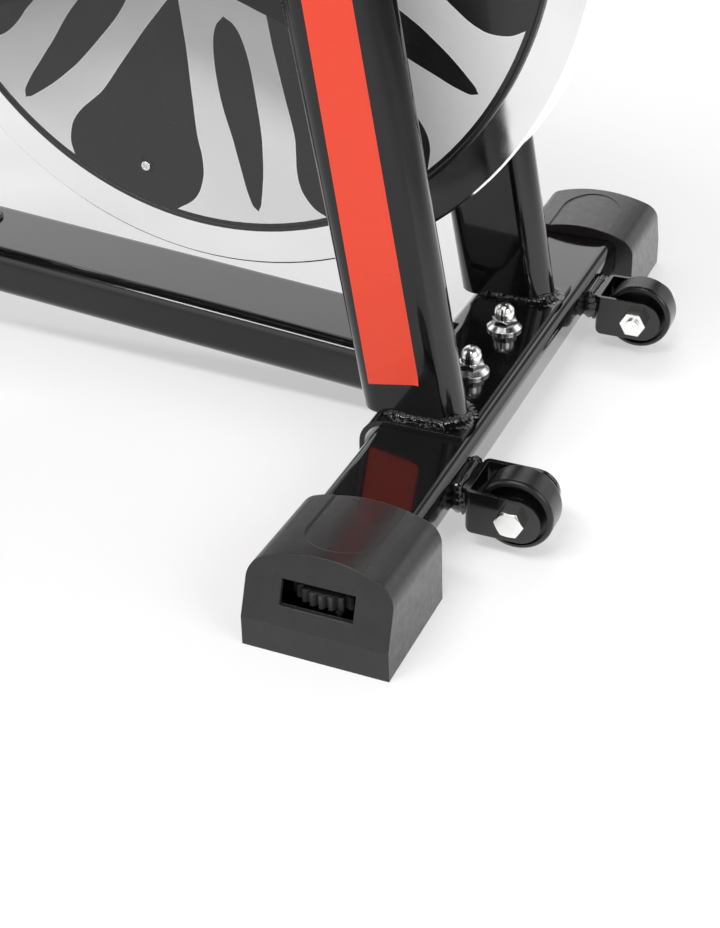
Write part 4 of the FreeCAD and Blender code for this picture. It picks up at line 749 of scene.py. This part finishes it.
STUB_INSET, STUB_HEIGHT = 14.0, 34.0    # clamp stub on the slider
SADDLE_CLAMP = SLIDER_MIDDLE + Vector((STUB_INSET - SLIDER_HALF_LENGTH, 0, SLIDER_HALF_HEIGHT + STUB_HEIGHT))
SADDLE_BACK = SADDLE_CLAMP.x - 128.0
SADDLE_BASE = SADDLE_CLAMP.z + 37.0
SHELL_THICKNESS = 6.0
HEM = 4.0                               # skin's ends inside the shell's
SADDLE_LENGTH = 268.0
HALF_WIDTH = [(0.0, 56), (0.04, 78), (0.1, 93), (0.18, 99), (0.28, 95), (0.38, 82), (0.48, 64), (0.58, 49),
              (0.7, 38), (0.82, 32), (0.92, 28), (0.97, 22), (1.0, 12)]
CROWN = [(0.0, 50), (0.06, 58), (0.15, 61), (0.28, 57), (0.42, 50), (0.6, 47), (0.78, 48), (0.9, 46),
         (0.96, 42), (1.0, 33)]


def nose_ward(share):
    """Place along the saddle at this share of the rows, which stand closer at both ends."""
    return 0.5 - 0.5 * math.cos(math.pi * share)


def saddle_point(t, v):
    """Point on the saddle's skin: t runs from back to nose, v from -1 at the right hem over the top to 1."""
    half = along_table(HALF_WIDTH, t)
    crown = along_table(CROWN, t)
    a = abs(v)
    shoulder = 0.66
    drop = 9.0 * (half / 99.0) ** 0.5
    tail = 13.0 * max(0.0, 1 - t / 0.16) ** 2
    if a < shoulder:
        s = a / shoulder
        y = half * (0.93 * s)
        ends = min(1, max(0, (t - 0.1) / 0.12)) * min(1, max(0, (0.86 - t) / 0.1))
        channel = 4.2 * math.exp(-(y / 7.5) ** 2) * ends
        z = crown - drop * s ** 2.4 - channel
        z += 4.0 * math.exp(-((s - 0.5) / 0.25) ** 2) * math.exp(-((t - 0.2) / 0.14) ** 2)
    else:
        s = (a - shoulder) / (1 - shoulder)
        bulge = math.sin(math.pi * min(1.0, s * 1.15)) * 0.07
        y = half * (0.93 + bulge - 0.13 * max(0.0, s - 0.55) ** 1.3)
        z = (crown - drop) * (1 - s) ** 1.15 - 4.0 * s
    x = SADDLE_BACK + HEM + t * (SADDLE_LENGTH - 2 * HEM) + tail * (1 - min(1.0, (y / half) ** 2))
    return Vector((x, math.copysign(y, v), SADDLE_BASE + SHELL_THICKNESS + z))


def saddle():
    shape = Shape()
    rows, columns, rings = 72, 56, []
    for i in range(rows + 1):
        t = nose_ward(i / rows)
        ring = [saddle_point(t, -1 + 2 * j / columns) for j in range(columns + 1)]
        low = ring[0].z
        half = abs(ring[0].y)
        ring += [Vector((ring[-1].x, half * k, low + 2.5)) for k in (0.8, 0.4, 0.0, -0.4, -0.8)]
        rings.append(ring)
    shape.rings(rings)
    pad = shape.done("saddle_cover", "saddle_group", ["leather", "side_cloth"], slot="saddle_leather",
                     angle=70)
    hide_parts("saddle_pad")
    puffed(pad)
    for polygon in pad.data.polygons:
        c = polygon.center
        t = (c.x * 1000 - ORIGIN_X - SADDLE_BACK - HEM) / (SADDLE_LENGTH - 2 * HEM)
        crown = along_table(CROWN, t)
        low = c.z * 1000 - SADDLE_BASE - SHELL_THICKNESS < 0.52 * (crown - 9)
        polygon.material_index = 1 if low and polygon.normal.z < 0.75 else 0
    seam(pad)


def puffed(pad):
    """Lets the pad swell a little inside its cover, as foam under a stretched skin does."""
    bpy.context.view_layer.objects.active = pad
    remesh = pad.modifiers.new("even", "REMESH")
    remesh.mode, remesh.voxel_size = "VOXEL", 0.0045
    bpy.ops.object.modifier_apply(modifier=remesh.name)
    rest = [v.co.copy() for v in pad.data.vertices]
    low = min(v.z for v in rest)
    group = pad.vertex_groups.new(name="held")
    for v in pad.data.vertices:
        group.add([v.index], 1.0 if v.co.z < low + 0.007 else 0.0, "REPLACE")
    cloth = pad.modifiers.new("foam", "CLOTH")
    cloth.settings.use_pressure = True
    cloth.settings.uniform_pressure_force = 4.0
    cloth.settings.vertex_group_mass = "held"
    cloth.settings.effector_weights.gravity = 0.0
    frames = 14
    cloth.point_cache.frame_start, cloth.point_cache.frame_end = 1, frames
    scene = bpy.context.scene
    for number in range(1, frames + 1):
        scene.frame_set(number)
    bpy.ops.object.modifier_apply(modifier=cloth.name)
    scene.frame_set(1)
    most = 0.0025
    for v, before in zip(pad.data.vertices, rest):
        move = v.co - before
        if move.length > most:
            v.co = before + move * (most / move.length)
    relax = pad.modifiers.new("relax", "SMOOTH")
    relax.factor, relax.iterations = 0.5, 4
    bpy.ops.object.modifier_apply(modifier=relax.name)
    finer = pad.modifiers.new("finer", "SUBSURF")
    finer.levels = finer.render_levels = 1
    bpy.ops.object.modifier_apply(modifier=finer.name)
    smooth(pad.data, 80)


def seam(pad):
    """Piping where the top meets the side panels, with a row of stitches beside it."""
    pipe, thread = Shape(), Shape()
    edge = []
    for side in (-1, 1):
        steps = [i / 150 for i in range(151)]
        if side > 0:
            steps.reverse()
        for t in steps:
            edge.append(saddle_point(nose_ward(t), side * 0.8))
    samples = evenly(edge, True, 2.0)
    tree = nearest(pad)
    rings, count = [], len(samples)
    for i, (p, _) in enumerate(samples):
        spot, normal = tree(p)
        along = (samples[(i + 1) % count][0] - samples[i - 1][0]).normalized()
        side = along.cross(normal).normalized()
        up = side.cross(along).normalized()
        rings.append(circle(spot + up * 0.2, side, up, 1.25, 8))
        if i % 2 == 0:
            stitch(thread, spot + side * 3.2 * (1 if side.z > 0 else -1), along, normal)
    pipe.rings(rings, loop=True)
    pipe.done("saddle_piping", "saddle_group", ["leather"], slot="saddle_leather", angle=80)
    thread.done("saddle_stitches", "saddle_group", ["thread"], slot="saddle_leather", angle=80)


def stitch(shape, spot, along, normal):
    side = along.cross(normal).normalized()
    rings = []
    for share, size in ((-1, 0.12), (-0.75, 0.36), (0, 0.46), (0.75, 0.36), (1, 0.12)):
        centre = spot + along * (1.35 * share) + normal * (0.35 * (1 - share * share) - 0.05)
        rings.append(circle(centre, side, normal, size, 6))
    shape.rings(rings)


def nearest(piece):
    """Finds the closest point and normal on a piece, in CAD millimetres."""
    work = bmesh.new()
    work.from_mesh(piece.data)
    tree = BVHTree.FromBMesh(work)
    work.free()

    def find(p):
        spot, normal, _, _ = tree.find_nearest(at(p))
        return Vector((spot.x * 1000 - ORIGIN_X, spot.y * 1000, spot.z * 1000)), normal.normalized()

    return find


# Handlebar grips

def grips():
    run = Vector((150.0, 0, 34.0))
    way = run.normalized()
    for name, side in SIDES.items():
        tip = Vector((BAR_MIDDLE.x, side * 222.0, BAR_MIDDLE.z)) + run
        start = tip - way * 100.0
        profile = [(14.05, 0), (16.4, 0.2), (18.2, 1.4), (18.6, 3.0), (18.2, 4.6), (17.3, 5.6)]
        s = 6.0
        while s < 94.0:
            profile += [(17.3, s + 0.4), (17.45, s + 1.2), (17.45, s + 2.6), (17.3, s + 3.4),
                        (16.75, s + 3.7), (16.75, s + 4.3)]
            s += 4.4
        profile += [(17.2, 96.0), (18.2, 97.2), (18.5, 99.5), (18.4, 103.0), (17.4, 105.2), (15.0, 106.2),
                    (9.0, 106.6), (8.0, 105.8), (0.2, 105.6)]
        shape = Shape()
        lathe(shape, start, way, profile, count=48, caps=False)
        piece = shape.done("grip_" + name, "handlebar_group", ["grip"], slot="grip_rubber", angle=50)
        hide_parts("handlebar_grips")


# Pedal straps, end caps and reflectors

STRAP_PATH = [(104, 61.2), (142, 62.0), (180, 61.2), (187.6, 52), (188.9, 0), (188.2, -11), (184, -12.6),
              (142, -12.6), (99.5, -12.6), (96.0, -10), (95.9, 0), (97.0, 46)]
STRAP_AHEAD = 30.0                      # of the pedal's axis


def pedal_centre(side):
    angle = CRANK_ANGLE + (0 if side < 0 else math.pi)
    return CRANK_CENTRE + Vector((math.cos(angle), 0, math.sin(angle))) * CRANK_LENGTH


def pedals():
    for name, side in SIDES.items():
        centre = pedal_centre(side)
        samples = [p for p, _ in evenly([Vector((0, y, z)) for y, z in STRAP_PATH], True, 3.0)]
        for _ in range(3):
            samples = [(samples[i - 1] + samples[i] * 2 + samples[(i + 1) % len(samples)]) / 4
                       for i in range(len(samples))]
        rings = []
        for i, p in enumerate(samples):
            along = (samples[(i + 1) % len(samples)] - samples[i - 1]).normalized()
            out = along.cross(X).normalized()
            ring = []
            for w, h in ((-6, -0.6), (6, -0.6), (6.2, 0), (6, 0.6), (-6, 0.6), (-6.2, 0)):
                q = p + out * h
                ring.append(Vector((centre.x + STRAP_AHEAD + w, side * q.y, centre.z + q.z)))
            rings.append(ring)
        shape = Shape()
        shape.rings(rings, loop=True)
        shape.done("toe_strap_" + name, name + "_pedal", ["webbing"], slot="pedal_plastic", angle=60)
        shape = Shape()
        middle = Vector((centre.x + STRAP_AHEAD, side * 189.9, centre.z + 30))
        out = Y * side
        outer = rounded_loop(18, 17, 2.5, 4)
        inner = rounded_loop(13, 9, 1.5, 4)
        rings = []
        for loop, height in ((outer, -0.4), (outer, 1.4), (inner, 1.4), (inner, -0.4)):
            rings.append([middle + X * p + Z * q + out * height for p, q in loop])
        shape.rings(rings, loop=True)
        lathe(shape, middle + out * 1.2 - X * 7, X, [(1.3, 0), (1.3, 14)], count=16)
        shape.done("strap_buckle_" + name, name + "_pedal", ["zinc"], slot="zinc")
        shape = Shape()
        cap = Vector((centre.x, side * 187.0, centre.z))
        lathe(shape, cap, out, [(9.4, -0.6), (9.4, 0.8), (8.6, 1.7), (4.0, 2.0), (0.1, 2.0)], count=32)
        for y in (122.0, 162.0):
            block = []
            for grow, x in ((0, -47.2), (0, -49.4), (-0.8, -50.0)):
                block.append([Vector((centre.x + x, side * y + p, centre.z + q))
                              for p, q in rounded_loop(24 + grow, 9 + grow, 1.4, 3)])
            shape.rings(block, slot=1)
        shape.done("pedal_trim_" + name, name + "_pedal", ["moulded", "reflector"], slot="pedal_plastic")


# Console

CONSOLE_REACH, CONSOLE_RISE = 84.0, 29.0


def console_trim():
    way = Vector((150.0, 0, 74.0)).normalized()
    up = Vector((-way.z, 0, way.x))
    face = BAR_MIDDLE + way * CONSOLE_REACH + up * CONSOLE_RISE

    def ring(width, height, radius, lift, y=0.0, shift=0.0):
        return [face + Y * (y + p) + way * (q + shift) + up * lift
                for p, q in rounded_loop(width, height, radius)]

    shape = Shape()
    shape.rings([ring(113, 79, 11, -0.5), ring(112, 78, 10.5, 1.0), ring(110, 76, 9.5, 1.8),
                 ring(100, 66, 6, 1.8), ring(98.5, 64.5, 5.5, 0.4), ring(98.5, 64.5, 5.5, -0.5)], loop=True)
    shape.rings([ring(98, 64, 5, 0.1), ring(98, 64, 5, 0.5)], slot=1)
    shape.rings([ring(74, 30, 2.5, lift, 0.0, 12.0) for lift in (0.3, 0.62)], slot=2)
    for y in (-27.0, 0.0, 27.0):
        button = ((19, 0.3), (19, 1.7), (17.6, 2.5), (13.0, 2.75), (8.0, 2.5))
        shape.rings([ring(size, size * 0.55, size * 0.27, lift, y, -18.0) for size, lift in button], slot=3)
    shape.done("console_face", "handlebar_group", ["moulded", "glass", "lcd", "rubber"],
               slot="console_plastic")


# Knob inserts

def knob_inserts():
    brake_rise = 385.3
    drop, reach = 30.0, POST_HALF + 41.0
    knob_top = Vector((WHEEL[0], 0, WHEEL[1])) + MAIN_UP * brake_rise
    seat_knob = CRANK_CENTRE + SEAT_UP * (SEAT_TUBE_TOP - drop) + SEAT_BACK * reach
    head_knob = on_fork(0, 0, HEAD_TOP - drop) + FORK_AHEAD * reach
    slide_knob = SLIDER_MIDDLE - Y * (reach - 5.0)
    plans = (("brake_knob_top", "brake_screw", knob_top, MAIN_UP, 13.0, "stripe"),
             ("seat_knob_top", "seat_height_clamp", seat_knob, SEAT_BACK, 11.0, "moulded"),
             ("handlebar_knob_top", "handlebar_clamp", head_knob, FORK_AHEAD, 11.0, "moulded"),
             ("slide_knob_top", "seat_slide_clamp", slide_knob, -Y, 11.0, "moulded"))
    for name, body, base, way, radius, look in plans:
        shape = Shape()
        profile = [(radius + 1.6, -0.4), (radius + 1.6, 0.5), (radius + 0.6, 1.0), (radius, 0.5),
                   (radius - 0.3, 0.9), (radius * 0.6, 1.3), (0.1, 1.4)]
        lathe(shape, base, way, profile, count=40)
        shape.done(name, body, [look], slot="knob_plastic")


# Floor, light and camera

def stage():
    """Matt floor that also glows: near white to the camera, and brighter ahead and to the left in mirrors."""
    mesh = bpy.data.meshes.new("floor")
    mesh.from_pydata([(-30, -30, 0), (30, -30, 0), (30, 30, 0), (-30, 30, 0)], [], [(0, 1, 2, 3)])
    mat = bpy.data.materials.new("floor")
    mat.use_nodes = True
    tree, shader = nodes_of(mat)
    shader.inputs["Base Color"].default_value = (0.56, 0.56, 0.56, 1)
    shader.inputs["Roughness"].default_value = 0.75
    shader.inputs["Specular IOR Level"].default_value = 0.2
    spot = add(tree, "ShaderNodeTexCoord").outputs["Object"]
    reach = calculate(tree, "LENGTH", spot, kind="ShaderNodeVectorMath")
    slant = calculate(tree, "DOT_PRODUCT", spot, (1, 1, 0), kind="ShaderNodeVectorMath")
    mirrored = calculate(tree, "MULTIPLY", ranged(tree, slant, 0.36, 0.85, 0.13, 0.3),
                         ranged(tree, reach, 1.0, 0.1, 0.9, 1.8))
    rays = add(tree, "ShaderNodeLightPath").outputs
    level = mixed(tree, rays["Is Camera Ray"], mirrored, ranged(tree, reach, 0.46, 0.78, 0.9, 3.2))
    glow = add(tree, "ShaderNodeEmission", Color=(1, 1, 1, 1), Strength=level).outputs[0]
    off = add(tree, "ShaderNodeEmission", Color=(0, 0, 0, 1), Strength=0.0).outputs[0]
    pick, both = add(tree, "ShaderNodeMixShader"), add(tree, "ShaderNodeAddShader")
    seen = calculate(tree, "MAXIMUM", rays["Is Camera Ray"], rays["Is Glossy Ray"])
    output = next(n for n in tree.nodes if n.type == "OUTPUT_MATERIAL")
    for socket, source in ((pick.inputs[0], seen), (pick.inputs[1], off), (pick.inputs[2], glow),
                           (both.inputs[0], shader.outputs[0]), (both.inputs[1], pick.outputs[0]),
                           (output.inputs["Surface"], both.outputs[0])):
        feed(tree, socket, source)
    mesh.materials.append(mat)
    placed("floor", mesh)


def studio():
    """White surroundings; polished pieces mirror bright walls and a dark ceiling."""
    world = bpy.data.worlds.new("studio")
    bpy.context.scene.world = world
    world.use_nodes = True
    tree = world.node_tree
    back = next(n for n in tree.nodes if n.type == "BACKGROUND")
    back.inputs["Color"].default_value = (1, 1, 1, 1)
    coords = add(tree, "ShaderNodeTexCoord").outputs["Generated"]
    way = add(tree, "ShaderNodeSeparateXYZ", Vector=coords).outputs
    walls = add(tree, "ShaderNodeFloatCurve", Value=way["Z"])
    curve = walls.mapping.curves[0]
    spots = ((0.0, 0.45), (0.25, 0.6), (0.5, 0.85), (0.62, 0.75), (0.76, 0.1), (1.0, 0.02))
    for spot, level in spots[1:-1]:
        curve.points.new(spot, level)
    curve.points[0].location = spots[0]
    curve.points[-1].location = spots[-1]
    walls.mapping.update()
    heading = calculate(tree, "ARCTAN2", way["Y"], way["X"])
    wave = calculate(tree, "COSINE", calculate(tree, "MULTIPLY_ADD", heading, 5.0, -0.5))
    mirrored = calculate(tree, "MULTIPLY", walls.outputs["Value"], ranged(tree, wave, 2.0, 0.35, 0.6, 0.86))
    rays = add(tree, "ShaderNodeLightPath").outputs
    soft = mixed(tree, rays["Is Glossy Ray"], 0.42, mirrored)
    feed(tree, back.inputs["Strength"], mixed(tree, rays["Is Camera Ray"], soft, 1.0))


def lamp(name, spot, aim, size, power, tall=None):
    data = bpy.data.lights.new(name, "AREA")
    data.shape = "RECTANGLE"
    data.size, data.size_y = size, tall or size
    data.energy = power
    piece = placed(name, data)
    piece.location = spot
    piece.rotation_mode = "QUATERNION"
    piece.rotation_quaternion = (Vector(aim) - Vector(spot)).to_track_quat("-Z", "Y")


def lights():
    lamp("key", (-0.2, -1.9, 3.0), (0.1, 0, 0.3), 2.2, 66.0, 0.5)
    lamp("front", (3.0, -1.2, 1.8), (0.2, 0, 0.4), 1.6, 34.0)
    lamp("back", (-0.5, 2.1, 3.2), (0, 0, 0.5), 2.2, 30.0, 0.8)


def camera():
    azimuth, elevation, roll = (math.radians(v) for v in (24.33, 32.82, -1.43))
    back = Vector((math.sin(azimuth) * math.cos(elevation), -math.cos(azimuth) * math.cos(elevation),
                   math.sin(elevation)))
    right = (-back).cross(Z).normalized()
    up = back.cross(right).normalized()
    tilted = right * math.cos(roll) + up * math.sin(roll)
    upright = up * math.cos(roll) - right * math.sin(roll)
    data = bpy.data.cameras.new("camera")
    data.lens, data.sensor_width = 63.47, 36.0
    data.clip_start, data.clip_end = 0.05, 60.0
    place = Matrix((tilted, upright, back)).transposed().to_4x4()
    aim, distance = Vector((0.3545, -0.08854, 0.0)), 1.12608
    place.translation = aim + back * distance
    piece = placed("camera", data)
    piece.matrix_world = place
    bpy.context.scene.camera = piece


fork_welds()
tube_welds()
bracket_welds()
stripes()
spoke_print()
guard_trim()
post_scales()
saddle()
grips()
pedals()
console_trim()
knob_inserts()
stage()
studio()
lights()
camera()
bpy.context.scene.view_settings.view_transform = "Standard"
